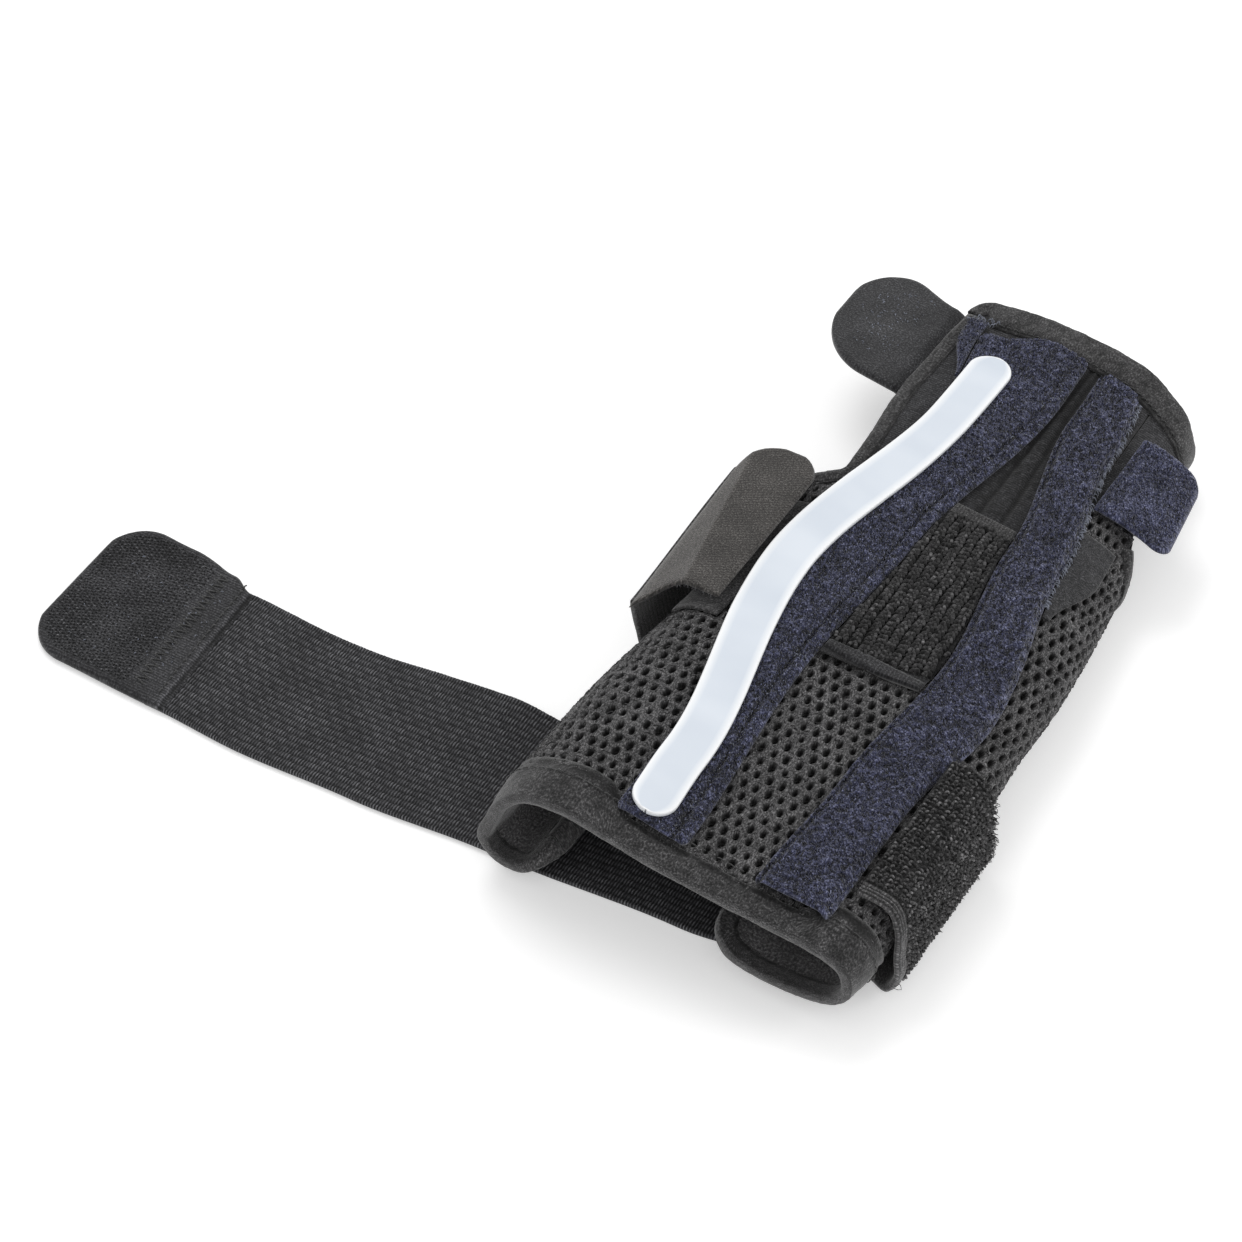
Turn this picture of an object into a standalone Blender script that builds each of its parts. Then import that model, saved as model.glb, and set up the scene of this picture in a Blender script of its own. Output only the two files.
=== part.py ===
"""Wrist splint: a laminated fabric sleeve, open along its underside, with two stays and three closures.

The brace lies on a table with its back upwards. Lengths are in millimetres in the brace's own frame, x across
the forearm (thumb side negative), y along it towards the fingers and z up from the table. They become metres,
with the origin below the middle of the whole object, when each piece is made. Places on the sleeve are given as
t and y, where t is the distance round the sleeve from the middle of its back, and h is the height above its
outer face.
"""

import math

import bmesh
import bpy
from mathutils import Vector

MM = 0.001
FOREARM_END = -111.0
HAND_END = 114.0
HAND_SLANT = 11.0
THUMB_CORNER_DROP = 3.0

# Cross-sections of the wrapped sleeve's outer face, from the thumb-side edge over the back to the other edge
FOREARM_SECTION = [
    *[(-31, 8), (-39, 3.5), (-47, 3.8), (-51.8, 10), (-50, 18), (-46, 26), (-39, 33), (-28, 35), (-14, 33)],
    *[(0, 30.5), (14, 29), (28, 27.5), (41, 26.5), (50, 22), (51.5, 14), (47, 7.6), (38, 5), (24, 5)],
    (11, 9),
]
WRIST_SECTION = [
    *[(-25, 4.5), (-33, 1.7), (-40, 3), (-44, 9), (-44, 17), (-41, 25), (-34, 31), (-24, 32.5), (-12, 31.5)],
    *[(0, 30), (14, 28.5), (28, 26.5), (40.5, 24.5), (49, 19.5), (50.5, 12), (46.5, 5), (37.5, 2), (24, 2)],
    (11, 6),
]
HAND_SECTION = [
    *[(-22, 4), (-30, 1.7), (-37, 2.5), (-41.5, 8.5), (-42, 16), (-39, 22.5), (-32, 27.5), (-22, 29)],
    *[(-11, 28), (0, 27), (12.5, 25.5), (24.5, 23.5), (33, 20.5), (37.5, 15.5), (38.2, 9.5), (35, 4)],
    *[(28, 1.8), (18, 2), (6, 6)],
]
MIDDLE_POINT = 9
FOREARM_TO_WRIST = (-80.0, -10.0)
WRIST_TO_HAND = (-10.0, 114.0)

# Flat outline of the sleeve
LEFT_WING_WIDTH = 90.0
LEFT_WING_END = 4.0
THUMB_CUT_WIDTH = 32.5
THUMB_CUT_START = 30.0
THUMB_CUT_SLANT = 4.5
RIGHT_WING_WIDTH = 104.0
RIGHT_WING_END = 18.0
NOTCH_WIDTH = 50.0
NOTCH_START = 57.0
NOTCH_END = 62.0
PALM_WING_WIDTH = 84.0
PALM_WING_START = 84.0
HAND_PANEL_START = 34.0
LEFT_POCKET_SEAM = -12.0
RIGHT_POCKET_SEAM = 31.0

# Laminate
MESH_THICKNESS = 2.6
LINING_THICKNESS = 1.5
LAYER_GAP = 0.3
PATCH_THICKNESS = 0.9
BINDING_THICKNESS = 0.8
BINDING_GAP = 0.6
END_BINDING_WIDTH = 8.0
SIDE_BINDING_WIDTH = 4.5

# Pockets and stays
POCKET_THICKNESS = 1.5
POCKET_GAP = 0.5
EMPTY_POCKET_STANDS = 0.8
FULL_POCKET_STANDS = 2.1
POCKET_FOOT = -101.0
POCKET_HEAD = 104.0
STAY_WIDTH = 11.6
STAY_THICKNESS = 1.4
STAY_LENGTH = 188.5
STAY_ON_POCKET_FOOT = -102.0
STAY_IN_POCKET_FOOT = -98.5
GUSSET_FOOT = -27.0
GUSSET_HEM = 4.0
GUSSET_THICKNESS = 1.4

# Forearm strap
STRAP_THICKNESS = 1.6
STRAP_WIDTH = 46.0
STRAP_FOLDS = (-58.0, -101.0, -146.0)
STRAP_TIP = -193.0
SEAM_BAND_END = -152.0
HOOK_TAB_WIDTH = 49.0
HOOK_TAB_MIDDLE = -82.5
HOOK_TAB_THICKNESS = 1.8
HOOK_THICKNESS = 1.2
FOLD_GAP = 0.15
ANCHOR_THICKNESS = 2.0
ANCHOR_NEAR = -91.0
ANCHOR_FAR = -45.0
ANCHOR_SIDE = 56.4
ANCHOR_SAG = 3.0

# Wrist strap
WRIST_STRAP_NEAR = -33.0
WRIST_STRAP_FAR = 14.0
WRIST_STRAP_THICKNESS = 2.0
WRIST_FOLD = (-47.5, 35.2)
WRIST_TAB_END = -29.2
WRIST_TAB_FAR = 22.0
WRIST_TAB_CORNERS = (11.0, 7.0)
WRIST_HOOK_CORNERS = (8.0, 5.0)

# Hand strap
HAND_FOLD = (-36.0, 25.2)
HAND_TAB_TIP = -62.0
HAND_TAB_NEAR = 70.5
HAND_TAB_FAR = 109.5
HAND_TAB_THICKNESS = 2.6
HAND_TAB_LEAN = 4.0
LOOP_FOLD = (32.6, 26.6)
LOOP_TAB_TIP = 51.5
LOOP_TAB_DROP = 5.0
LOOP_TAB_NEAR = 54.5
LOOP_TAB_FAR = 85.0
LOOP_TAB_THICKNESS = 2.0
LOOP_TAB_LEAN = -2.5

# Where the brace's own origin stands in the object's frame
BRACE_ORIGIN = Vector((-(STRAP_TIP + ANCHOR_SIDE) / 2, -(FOREARM_END + HAND_END) / 2, 0))

# Each material: colour, roughness
MATERIALS = {
    "spacer_mesh": ((0.055, 0.053, 0.052), 0.85),
    "lining": ((0.035, 0.035, 0.036), 0.95),
    "knit": ((0.05, 0.05, 0.053), 0.9),
    "loop_pile": ((0.032, 0.038, 0.068), 0.95),
    "elastic": ((0.048, 0.046, 0.046), 0.8),
    "hook": ((0.04, 0.04, 0.044), 0.7),
    "stay": ((0.80, 0.86, 0.94), 0.3),
}

PARTS = bpy.data.collections.new("wrist_splint")


# ---------------------------------------------------------------- helpers


def clamp(value, low, high):
    return max(low, min(high, value))


def ease(value, start, end, before, after):
    """Goes smoothly from before to after while value goes from start to end."""
    share = clamp((value - start) / (end - start), 0.0, 1.0)
    return before + (after - before) * share * share * (3 - 2 * share)


def through(points, value):
    """Reads a smooth line through (position, height) points at a position."""
    for (start, before), (end, after) in zip(points, points[1:]):
        if value <= end:
            return ease(value, start, end, before, after)
    return points[-1][1]


def steps(start, end, count):
    return [start + (end - start) * i / count for i in range(count + 1)]


def material(slot):
    if slot in bpy.data.materials:
        return bpy.data.materials[slot]
    color, roughness = MATERIALS[slot]
    made = bpy.data.materials.new(slot)
    made.use_nodes = True
    shader = made.node_tree.nodes["Principled BSDF"]
    shader.inputs["Base Color"].default_value = (*color, 1.0)
    shader.inputs["Roughness"].default_value = roughness
    shader.inputs["Metallic"].default_value = 0.0
    return made


def slab(name, slot, us, vs, place, pivot=(0, 0, 0)):
    """A closed slab: a flat grid given thickness, whose point (u, v) at side 0 or 1 goes to place(u, v, side).

    pivot is where the object's origin goes, which for a moving piece is on its joint's axis.
    """
    bm = bmesh.new()
    bmesh.ops.create_grid(bm, x_segments=len(us) - 1, y_segments=len(vs) - 1, size=0.5)
    extruded = bmesh.ops.extrude_face_region(bm, geom=bm.faces[:])
    raised = [item for item in extruded["geom"] if isinstance(item, bmesh.types.BMVert)]
    bmesh.ops.translate(bm, verts=raised, vec=(0, 0, 1))
    for vert in bm.verts:
        u = us[round((vert.co.x + 0.5) * (len(us) - 1))]
        v = vs[round((vert.co.y + 0.5) * (len(vs) - 1))]
        vert.co = (Vector(place(u, v, round(vert.co.z))) - Vector(pivot)) * MM
    bmesh.ops.remove_doubles(bm, verts=bm.verts[:], dist=0.02 * MM)
    bmesh.ops.triangulate(bm, faces=bm.faces[:])
    bmesh.ops.recalc_face_normals(bm, faces=bm.faces[:])
    mesh = bpy.data.meshes.new(name)
    bm.to_mesh(mesh)
    bm.free()
    mesh.materials.append(material(slot))
    mesh.shade_smooth()
    mesh.set_sharp_from_angle(angle=math.radians(40))
    piece = bpy.data.objects.new(name, mesh)
    piece.location = (BRACE_ORIGIN + Vector(pivot)) * MM
    PARTS.objects.link(piece)
    return piece


# ---------------------------------------------------------------- the sleeve's outer face


def section_knots():
    """The value of t at each point of a cross-section, measured along the forearm's."""
    lengths = [math.dist(a, b) for a, b in zip(FOREARM_SECTION, FOREARM_SECTION[1:])]
    before = sum(lengths[:MIDDLE_POINT])
    return [sum(lengths[:i]) - before for i in range(len(lengths) + 1)]


SECTION_KNOTS = section_knots()


def section_point(i, y):
    """Point i of the cross-section at y."""
    forearm, wrist, hand = FOREARM_SECTION[i], WRIST_SECTION[i], HAND_SECTION[i]
    to_wrist = ease(y, *FOREARM_TO_WRIST, 0, 1)
    to_hand = ease(y, *WRIST_TO_HAND, 0, 1)
    return tuple(a + (b - a) * to_wrist + (c - b) * to_hand for a, b, c in zip(forearm, wrist, hand))


def section_curve(t, y):
    """The cross-section's point and direction at t: a cubic curve through its points."""
    last = len(SECTION_KNOTS) - 2
    i = clamp(sum(knot <= t for knot in SECTION_KNOTS) - 1, 0, last)
    indices = [max(i - 1, 0), i, i + 1, min(i + 2, last + 1)]
    k0, k1, k2, k3 = (SECTION_KNOTS[j] for j in indices)
    p0, p1, p2, p3 = (section_point(j, y) for j in indices)
    span = k2 - k1
    s = (t - k1) / span
    point = []
    direction = []
    for a, b, c, d in zip(p0, p1, p2, p3):
        leave = (c - a) / (k2 - k0) * span
        arrive = (d - b) / (k3 - k1) * span
        bend = 3 * (c - b) - 2 * leave - arrive
        turn = 2 * (b - c) + leave + arrive
        point.append(b + s * (leave + s * (bend + s * turn)))
        direction.append(leave + s * (2 * bend + 3 * s * turn))
    return point, direction


def skin(t, y, h):
    """The point h above the sleeve's outer face at (t, y)."""
    (x, z), (dx, dz) = section_curve(t, y)
    length = math.hypot(dx, dz)
    return (x - h * dz / length, y, z + h * dx / length)


def narrowing(t, y):
    """The real distance round the sleeve for each unit of t, which is below 1 towards the hand."""
    (x_before, z_before), _ = section_curve(t - 0.5, y)
    (x_after, z_after), _ = section_curve(t + 0.5, y)
    return math.hypot(x_after - x_before, z_after - z_before)


def left_edge(y):
    wing = ease(y, LEFT_WING_END, THUMB_CUT_START, LEFT_WING_WIDTH, THUMB_CUT_WIDTH)
    return -wing - ease(y, THUMB_CUT_START, HAND_TAB_NEAR, 0, THUMB_CUT_SLANT)


def right_edge(y):
    if y < NOTCH_END:
        return ease(y, RIGHT_WING_END, NOTCH_START, RIGHT_WING_WIDTH, NOTCH_WIDTH)
    return ease(y, NOTCH_END, PALM_WING_START, NOTCH_WIDTH, PALM_WING_WIDTH)


def hand_edge(t):
    """The laminate's end at the fingers, which slopes back a little to the thumb and more to the other side."""
    thumb_corner = ease(t, -38, -8, THUMB_CORNER_DROP, 0)
    slant = ease(t, 12, 60, 0, HAND_SLANT)
    return HAND_END - BINDING_GAP - BINDING_THICKNESS - thumb_corner - slant


LAMINATE_FOOT = FOREARM_END + BINDING_GAP + BINDING_THICKNESS
LAMINATE_UNDERSIDE = -MESH_THICKNESS - LAYER_GAP - LINING_THICKNESS
ROUND_KNOTS = [
    *[-90, -87, -84, -78, -72, -66, -60, -54, -48, -43, -38, -35, -32, -24, -12, 0, 12, 24, 31],
    *[38, 44, 50, 56, 61, 66, 71, 76, 81, 84, 90, 95, 100, 104],
]
LONG_KNOTS = [
    *[LAMINATE_FOOT, -90, -70, -50, -30, -12, 4, 7, 10, 12, 14, 16, 18, 20, 22, 24, 26, 28, 30, 34, 38],
    *[41, 44, 47, 50, 53, 57, 62, 64, 66, 68, 70, 72, 74, 76, 78, 80, 82, 84, 90, 98, 106],
]


# ---------------------------------------------------------------- flat pieces that follow the sleeve


def layer(name, slot, outline, ends, bottom, top):
    """A layer of the laminate. outline(y) gives its two side edges' t and ends(t) its two ends' y."""

    def place(t, y, side):
        y = clamp(y, *ends(t))
        return skin(clamp(t, *outline(y)), y, top if side else bottom)

    foot, head = ends(0)
    left = min(outline(y)[0] for y in LONG_KNOTS if foot <= y <= head)
    right = max(outline(y)[1] for y in LONG_KNOTS if foot <= y <= head)
    ts = [left, *[t for t in ROUND_KNOTS if left < t < right], right]
    ys = [foot, *[y for y in LONG_KNOTS if foot < y < head], head]
    return slab(name, slot, ts, ys, place)


def patch(name, slot, edges, foot, head, bottom, top, rows):
    """A flat piece sewn on the sleeve, between two edges that vary along it."""

    def place(share, y, side):
        left, right = edges(y)
        return skin(left + (right - left) * share, y, top if side else bottom)

    return slab(name, slot, steps(0, 1, 4), steps(foot, head, rows), place)


def pocket(name, edges, standing):
    """A pocket's cloth: sewn down at its sides, and standing clear of the mesh over its middle."""

    def place(across, y, side):
        left, right = edges(y)
        t = (left + right) / 2 + across * (right - left) / 2
        rise = standing * ease(abs(across), 0.78, 0.98, 1, 0)
        h = POCKET_GAP + rise + (POCKET_THICKNESS if side else 0)
        return skin(t, min(y, hand_edge(t) - END_BINDING_WIDTH - 1.5), h)

    across = [-1, -0.92, -0.85, -0.78, 0, 0.78, 0.85, 0.92, 1]
    return slab(name, "loop_pile", across, steps(POCKET_FOOT, POCKET_HEAD, 14), place)


def stay(name, line, foot, bottom, pivot=(0, 0, 0)):
    """A flat bar with round ends whose middle follows line(y) from y = foot. bottom is its underside's height."""
    head = foot + STAY_LENGTH
    half = STAY_WIDTH / 2
    ends = [half * (1 - math.cos(math.radians(turn))) for turn in (12, 35, 62, 90)]
    ys = [foot + end for end in ends] + [head - end for end in reversed(ends)]
    ys[4:4] = steps(ys[3], ys[4], 14)[1:-1]

    def place(across, y, side):
        inset = half - min(y - foot, head - y, half)
        width = across * math.sqrt(half * half - inset * inset)
        scale = narrowing(line(y), y)
        slope = (line(y + 1) - line(y - 1)) / 2 * scale
        bend = math.hypot(1, slope)
        t = line(y) + width / bend / scale
        return skin(t, y - width * slope / bend, bottom + (STAY_THICKNESS if side else 0))

    return slab(name, "stay", [-1, -0.5, 0, 0.5, 1], ys, place, pivot)


def binding(name, path, width, inwards=None):
    """Cloth folded round an edge of the laminate, whose (t, y) points are path, with the laminate on its left.

    The cloth runs straight across the edge, or along inwards, a direction in t and y.
    """
    reach = [width, width / 2, -BINDING_GAP, -BINDING_GAP, width / 2, width]
    under = LAMINATE_UNDERSIDE - BINDING_GAP
    height = [BINDING_GAP] * 3 + [under] * 3
    outwards = [(0, 1), (0, 1), (-1, 0.5), (-1, -0.5), (0, -1), (0, -1)]

    def place(i, fold, side):
        before, after = path[max(i - 1, 0)], path[min(i + 1, len(path) - 1)]
        across = Vector(inwards or (before[1] - after[1], after[0] - before[0])).normalized()
        thickness = BINDING_THICKNESS if side else 0
        distance = reach[fold] + outwards[fold][0] * thickness
        h = height[fold] + outwards[fold][1] * thickness
        return skin(path[i][0] + distance * across.x, path[i][1] + distance * across.y, h)

    return slab(name, "knit", list(range(len(path))), list(range(6)), place)


# ---------------------------------------------------------------- straps and tabs


def ribbon(name, slot, path, edges, thickness, pivot=(0, 0, 0)):
    """A strap whose middle follows (x, z) points. edges(x) gives its near and far edges' y."""

    def place(i, share, side):
        before, after = path[max(i - 1, 0)], path[min(i + 1, len(path) - 1)]
        dx, dz = after[0] - before[0], after[1] - before[1]
        offset = (thickness / 2 if side else -thickness / 2) / math.hypot(dx, dz)
        near, far = edges(path[i][0])
        return (path[i][0] - dz * offset, near + (far - near) * share, path[i][1] + dx * offset)

    return slab(name, slot, list(range(len(path))), [0, 0.5, 1], place, pivot)


def smooth_path(points, per_span=3):
    """A smooth curve through (x, z) points."""
    padded = [points[0], *points, points[-1]]
    path = []
    for a, b, c, d in zip(padded, padded[1:], padded[2:], padded[3:]):
        for step in range(per_span):
            s = step / per_span
            weights = (-s + 2 * s**2 - s**3, 2 - 5 * s**2 + 3 * s**3, s + 4 * s**2 - 3 * s**3, s**3 - s**2)
            spots = list(zip(weights, (a, b, c, d)))
            path.append(tuple(sum(w * spot[axis] for w, spot in spots) / 2 for axis in (0, 1)))
    return [*path, points[-1]]


def strap_edges(x):
    """The forearm strap crosses under the sleeve a little askew."""
    middle = through([(-80, -85.5), (0, -79.5), (58, -67)], x)
    return middle - STRAP_WIDTH / 2, middle + STRAP_WIDTH / 2


def strap_run(name, start, end, pivot=(0, 0, 0)):
    path = [(x, STRAP_THICKNESS / 2) for x in steps(start, end, 6)]
    return ribbon(name, "elastic", path, strap_edges, STRAP_THICKNESS, pivot)


def tab(name, slot, start, end, near_far, radius, faces, pivot=(0, 0, 0), lean=0):
    """A tab from x = start to its end, with two round corners there. faces(x) gives its two faces' heights.

    lean is how far the end stands along y from straight out.
    """
    towards = 1 if end > start else -1
    near, far = near_far
    corner = [end - towards * radius * (1 - math.cos(math.radians(turn))) for turn in (90, 62, 35, 12, 0)]
    xs = [*steps(start, corner[0], 4)[:-1], *corner]

    def place(x, share, side):
        inset = radius - min(abs(end - x), radius)
        cut = radius - math.sqrt(radius * radius - inset * inset)
        shift = lean * (x - start) / (end - start)
        return (x, near + cut + (far - near - 2 * cut) * share + shift, faces(x)[side])

    return slab(name, slot, xs, [0, 0.5, 1], place, pivot)


# ---------------------------------------------------------------- the pieces


def left_stay_line(y):
    return through([(-104, -9.8), (-82, -11.0), (-8, -25.7), (60, -16.1), (95, -16.4)], y)


def left_pocket_edges(y):
    left = through([(-104, -17.0), (-62, -18.0), (-8, -28.0), (60, -22.0), (98, -28.0)], y)
    right = through([(-104, 2.5), (-35, -2.5), (15, 0.5), (80, 8.5), (104, 7.5)], y)
    return left, right


def right_pocket_edges(y):
    left = through([(-104, 20.5), (-62, 22.0), (-18, 25.5), (30, 20.5), (80, 13.0), (104, 12.0)], y)
    right = through([(-104, 40.5), (-66, 40.5), (-28, 44.5), (30, 36.5), (76, 30.0), (104, 26.5)], y)
    return left, right


def right_stay_line(y):
    return sum(right_pocket_edges(y)) / 2


def between_pockets(y):
    return left_pocket_edges(y)[1] + 0.4, right_pocket_edges(y)[0] - 0.4


def make_laminate():
    outer = -MESH_THICKNESS

    def whole(t):
        return LAMINATE_FOOT, hand_edge(t)

    def forearm_part(_):
        return LAMINATE_FOOT, HAND_PANEL_START

    def hand_part(t):
        return HAND_PANEL_START + LAYER_GAP, hand_edge(t)

    def right_wing_part(_):
        return LAMINATE_FOOT, NOTCH_START

    def palm_part(t):
        return NOTCH_START + LAYER_GAP, hand_edge(t)

    def left_panel(y):
        return left_edge(y), LEFT_POCKET_SEAM

    def middle_panel(_):
        return LEFT_POCKET_SEAM + LAYER_GAP, RIGHT_POCKET_SEAM

    def right_panel(y):
        return RIGHT_POCKET_SEAM + LAYER_GAP, right_edge(y)

    def back_of_hand(y):
        return left_edge(y), RIGHT_POCKET_SEAM

    def everything(y):
        return left_edge(y), right_edge(y)

    layer("lining", "lining", everything, whole, LAMINATE_UNDERSIDE, outer - LAYER_GAP)
    layer("mesh_left", "spacer_mesh", left_panel, forearm_part, outer, 0)
    layer("mesh_middle", "spacer_mesh", middle_panel, forearm_part, outer, 0)
    layer("mesh_right", "spacer_mesh", right_panel, right_wing_part, outer, 0)
    layer("hand_panel", "knit", back_of_hand, hand_part, outer, 0)
    layer("palm_panel", "knit", right_panel, palm_part, outer, 0)


def make_patches():
    def beside_right_pocket(y):
        return right_pocket_edges(y)[1] + 0.4, 47

    base = BINDING_GAP
    gusset_top = base + GUSSET_THICKNESS
    hem_top = gusset_top + PATCH_THICKNESS
    head = HAND_PANEL_START
    inside = (GUSSET_FOOT + GUSSET_HEM + LAYER_GAP, head - GUSSET_HEM - LAYER_GAP)
    lower_hem = (GUSSET_FOOT, GUSSET_FOOT + GUSSET_HEM)
    patch("gusset_hem_lower", "knit", between_pockets, *lower_hem, base, hem_top, 1)
    patch("gusset_elastic", "elastic", between_pockets, *inside, base, gusset_top, 6)
    patch("gusset_hem_upper", "knit", between_pockets, head - GUSSET_HEM, head, base, hem_top, 1)
    patch("side_patch", "knit", beside_right_pocket, 12, 46, base, base + PATCH_THICKNESS, 5)


def make_pockets_and_stays():
    pocket("pocket_left", left_pocket_edges, EMPTY_POCKET_STANDS)
    pocket("pocket_right", right_pocket_edges, FULL_POCKET_STANDS)
    on_pocket = POCKET_GAP + EMPTY_POCKET_STANDS + POCKET_THICKNESS + LAYER_GAP
    left_pivot = (left_stay_line(0), 0, skin(0, 0, 0)[2])
    stay("stay_left", left_stay_line, STAY_ON_POCKET_FOOT, on_pocket, left_pivot)
    stay("stay_right", right_stay_line, STAY_IN_POCKET_FOOT, POCKET_GAP)


def make_bindings():
    side_foot = FOREARM_END + END_BINDING_WIDTH + 1.5
    side_rows = [side_foot, *[y for y in LONG_KNOTS if -90 <= y]]
    left_side = [(left_edge(y), y) for y in side_rows if y < HAND_END - END_BINDING_WIDTH - 4]
    right_wing = [(right_edge(y), y) for y in side_rows if y < NOTCH_START]
    palm_wing = [(right_edge(y), y) for y in side_rows if NOTCH_END < y < PALM_WING_START]
    hand_end = [(t, hand_edge(t)) for t in ROUND_KNOTS if left_edge(HAND_END) <= t <= PALM_WING_WIDTH]
    binding("binding_forearm", [(t, LAMINATE_FOOT) for t in ROUND_KNOTS], END_BINDING_WIDTH, (0, 1))
    binding("binding_thumb_side", left_side[::-1], SIDE_BINDING_WIDTH)
    binding("binding_right_wing", right_wing, SIDE_BINDING_WIDTH)
    binding("binding_palm_wing", palm_wing, SIDE_BINDING_WIDTH)
    binding("binding_hand_end", hand_end[::-1], END_BINDING_WIDTH, (0, -1))


def make_forearm_strap():
    root_fold, middle_fold, tab_fold = STRAP_FOLDS
    pivots = [(x, HOOK_TAB_MIDDLE, STRAP_THICKNESS) for x in STRAP_FOLDS]
    side = ANCHOR_SIDE - ANCHOR_THICKNESS / 2
    below_pocket = [(44, 28.4), (50.3, 27.4), (54, 22), (55, 15)]
    anchor = smooth_path([*below_pocket, (side, 8.5), (52.7, 2.7), (46, 1.05)])

    def anchor_edges(x):
        sag = ease(x, 48, side, 0, ANCHOR_SAG)
        return ANCHOR_NEAR - sag, ANCHOR_FAR - sag

    ribbon("forearm_strap_anchor", "loop_pile", anchor, anchor_edges, ANCHOR_THICKNESS)
    strap_run("forearm_strap_under", 45.6, root_fold + FOLD_GAP)
    strap_run("forearm_strap_inner", root_fold - FOLD_GAP, middle_fold + FOLD_GAP, pivots[0])
    strap_run("forearm_strap_outer", middle_fold - FOLD_GAP, tab_fold + FOLD_GAP, pivots[1])

    half = HOOK_TAB_WIDTH / 2
    edges = (HOOK_TAB_MIDDLE - half, HOOK_TAB_MIDDLE + half)
    inset_edges = (edges[0] + 2, edges[1] - 2)
    tape = (HOOK_TAB_THICKNESS + LAYER_GAP, HOOK_TAB_THICKNESS + LAYER_GAP + HOOK_THICKNESS)
    band = (tape[0], tape[0] + PATCH_THICKNESS)
    start = tab_fold - FOLD_GAP
    pivot = pivots[2]
    tape_sides = (SEAM_BAND_END - LAYER_GAP, STRAP_TIP + 2)
    band_sides = (start - 0.5, SEAM_BAND_END)
    tab("forearm_hook_tab", "knit", start, STRAP_TIP, edges, 13, lambda _: (0, HOOK_TAB_THICKNESS), pivot)
    tab("forearm_hook_tape", "hook", *tape_sides, inset_edges, 11, lambda _: tape, pivot)
    tab("forearm_strap_seam", "elastic", *band_sides, inset_edges, 0.5, lambda _: band, pivot)


def rounded_plate(name, slot, sides, near_far, corners, faces, pivot):
    """A plate between two x positions whose far corners are round. faces(x) gives its bottom and top."""
    near, far = near_far
    turns = (90, 62, 35, 12, 0)
    reach = max(corners)
    rounded = [far - reach * (1 - math.cos(math.radians(turn))) for turn in turns]
    ys = [*steps(near, far - reach, 3)[:-1], *rounded]

    def place(share, y, side):
        cuts = [r - math.sqrt(r * r - (r - min(far - y, r)) ** 2) for r in corners]
        left, right = sides[0] + cuts[0], sides[1] - cuts[1]
        x = left + (right - left) * share
        return (x, y, faces(x)[side])

    slab(name, slot, steps(0, 1, 4), ys, place, pivot)


def make_wrist_strap():
    fold_x, fold_z = WRIST_FOLD
    pivot = (fold_x, 0, fold_z)
    half = WRIST_STRAP_THICKNESS / 2
    band = smooth_path([(-41.5, 1.2), (-46, 1.6), (-50.4, 7), (-52, 15), (-51.2, 24), (fold_x - 2.2, 31)])
    ribbon("wrist_strap_band", "elastic", band, lambda _: (WRIST_STRAP_NEAR, WRIST_STRAP_FAR), 2 * half)

    def middle(x):
        return through([(fold_x, 36.4), (-41, 38.2), (WRIST_TAB_END, 37.6)], x)

    def tab_faces(x):
        return middle(x) - half, middle(x) + half

    def hook_faces(x):
        bottom = middle(x) - half - LAYER_GAP
        return bottom - HOOK_THICKNESS, bottom

    tab_outline = ((fold_x, WRIST_TAB_END), (WRIST_STRAP_NEAR, WRIST_TAB_FAR))
    hook_outline = ((fold_x + 3.5, WRIST_TAB_END - 1.5), (WRIST_STRAP_NEAR + 1, WRIST_TAB_FAR - 1.5))
    rounded_plate("wrist_strap_tab", "elastic", *tab_outline, WRIST_TAB_CORNERS, tab_faces, pivot)
    rounded_plate("wrist_strap_hook", "hook", *hook_outline, WRIST_HOOK_CORNERS, hook_faces, pivot)
    bottom = BINDING_GAP
    patch("wrist_strap_seat", "knit", lambda _: (-45, -31), -36, 12, bottom, bottom + PATCH_THICKNESS, 6)


def make_hand_strap():
    fold_x, fold_z = HAND_FOLD
    pivot = (fold_x, (HAND_TAB_NEAR + HAND_TAB_FAR) / 2, fold_z)
    near_far = (HAND_TAB_NEAR, HAND_TAB_FAR)
    bottom = fold_z - HAND_TAB_THICKNESS
    hook = (bottom - LAYER_GAP - HOOK_THICKNESS, bottom - LAYER_GAP)
    start = fold_x - FOLD_GAP

    def base_faces(x):
        top = through([(fold_x, fold_z - 1.6), (-33.4, 21.3), (-28, 20.6)], x)
        return top - STRAP_THICKNESS, top

    tab("hand_strap_base", "knit", -16, fold_x + FOLD_GAP, near_far, 0.2, base_faces)
    tab_sides = (start, HAND_TAB_TIP)
    faces = (bottom, fold_z)
    tab("hand_strap_tab", "knit", *tab_sides, near_far, 17, lambda _: faces, pivot, HAND_TAB_LEAN)
    hook_edges = (HAND_TAB_NEAR + 2, HAND_TAB_FAR - 2)
    hook_sides = (start - 4, HAND_TAB_TIP + 2)
    tab("hand_strap_hook", "hook", *hook_sides, hook_edges, 15, lambda _: hook, pivot, HAND_TAB_LEAN - 1)

    fold_x, fold_z = LOOP_FOLD
    pivot = (fold_x, (LOOP_TAB_NEAR + LOOP_TAB_FAR) / 2, fold_z)

    def loop_faces(x):
        top = fold_z - LOOP_TAB_DROP * ((x - fold_x) / (LOOP_TAB_TIP - fold_x)) ** 2
        return top - LOOP_TAB_THICKNESS, top

    near_far = (LOOP_TAB_NEAR, LOOP_TAB_FAR)
    tab("hand_loop_tab", "loop_pile", fold_x, LOOP_TAB_TIP, near_far, 5, loop_faces, pivot, LOOP_TAB_LEAN)


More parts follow.
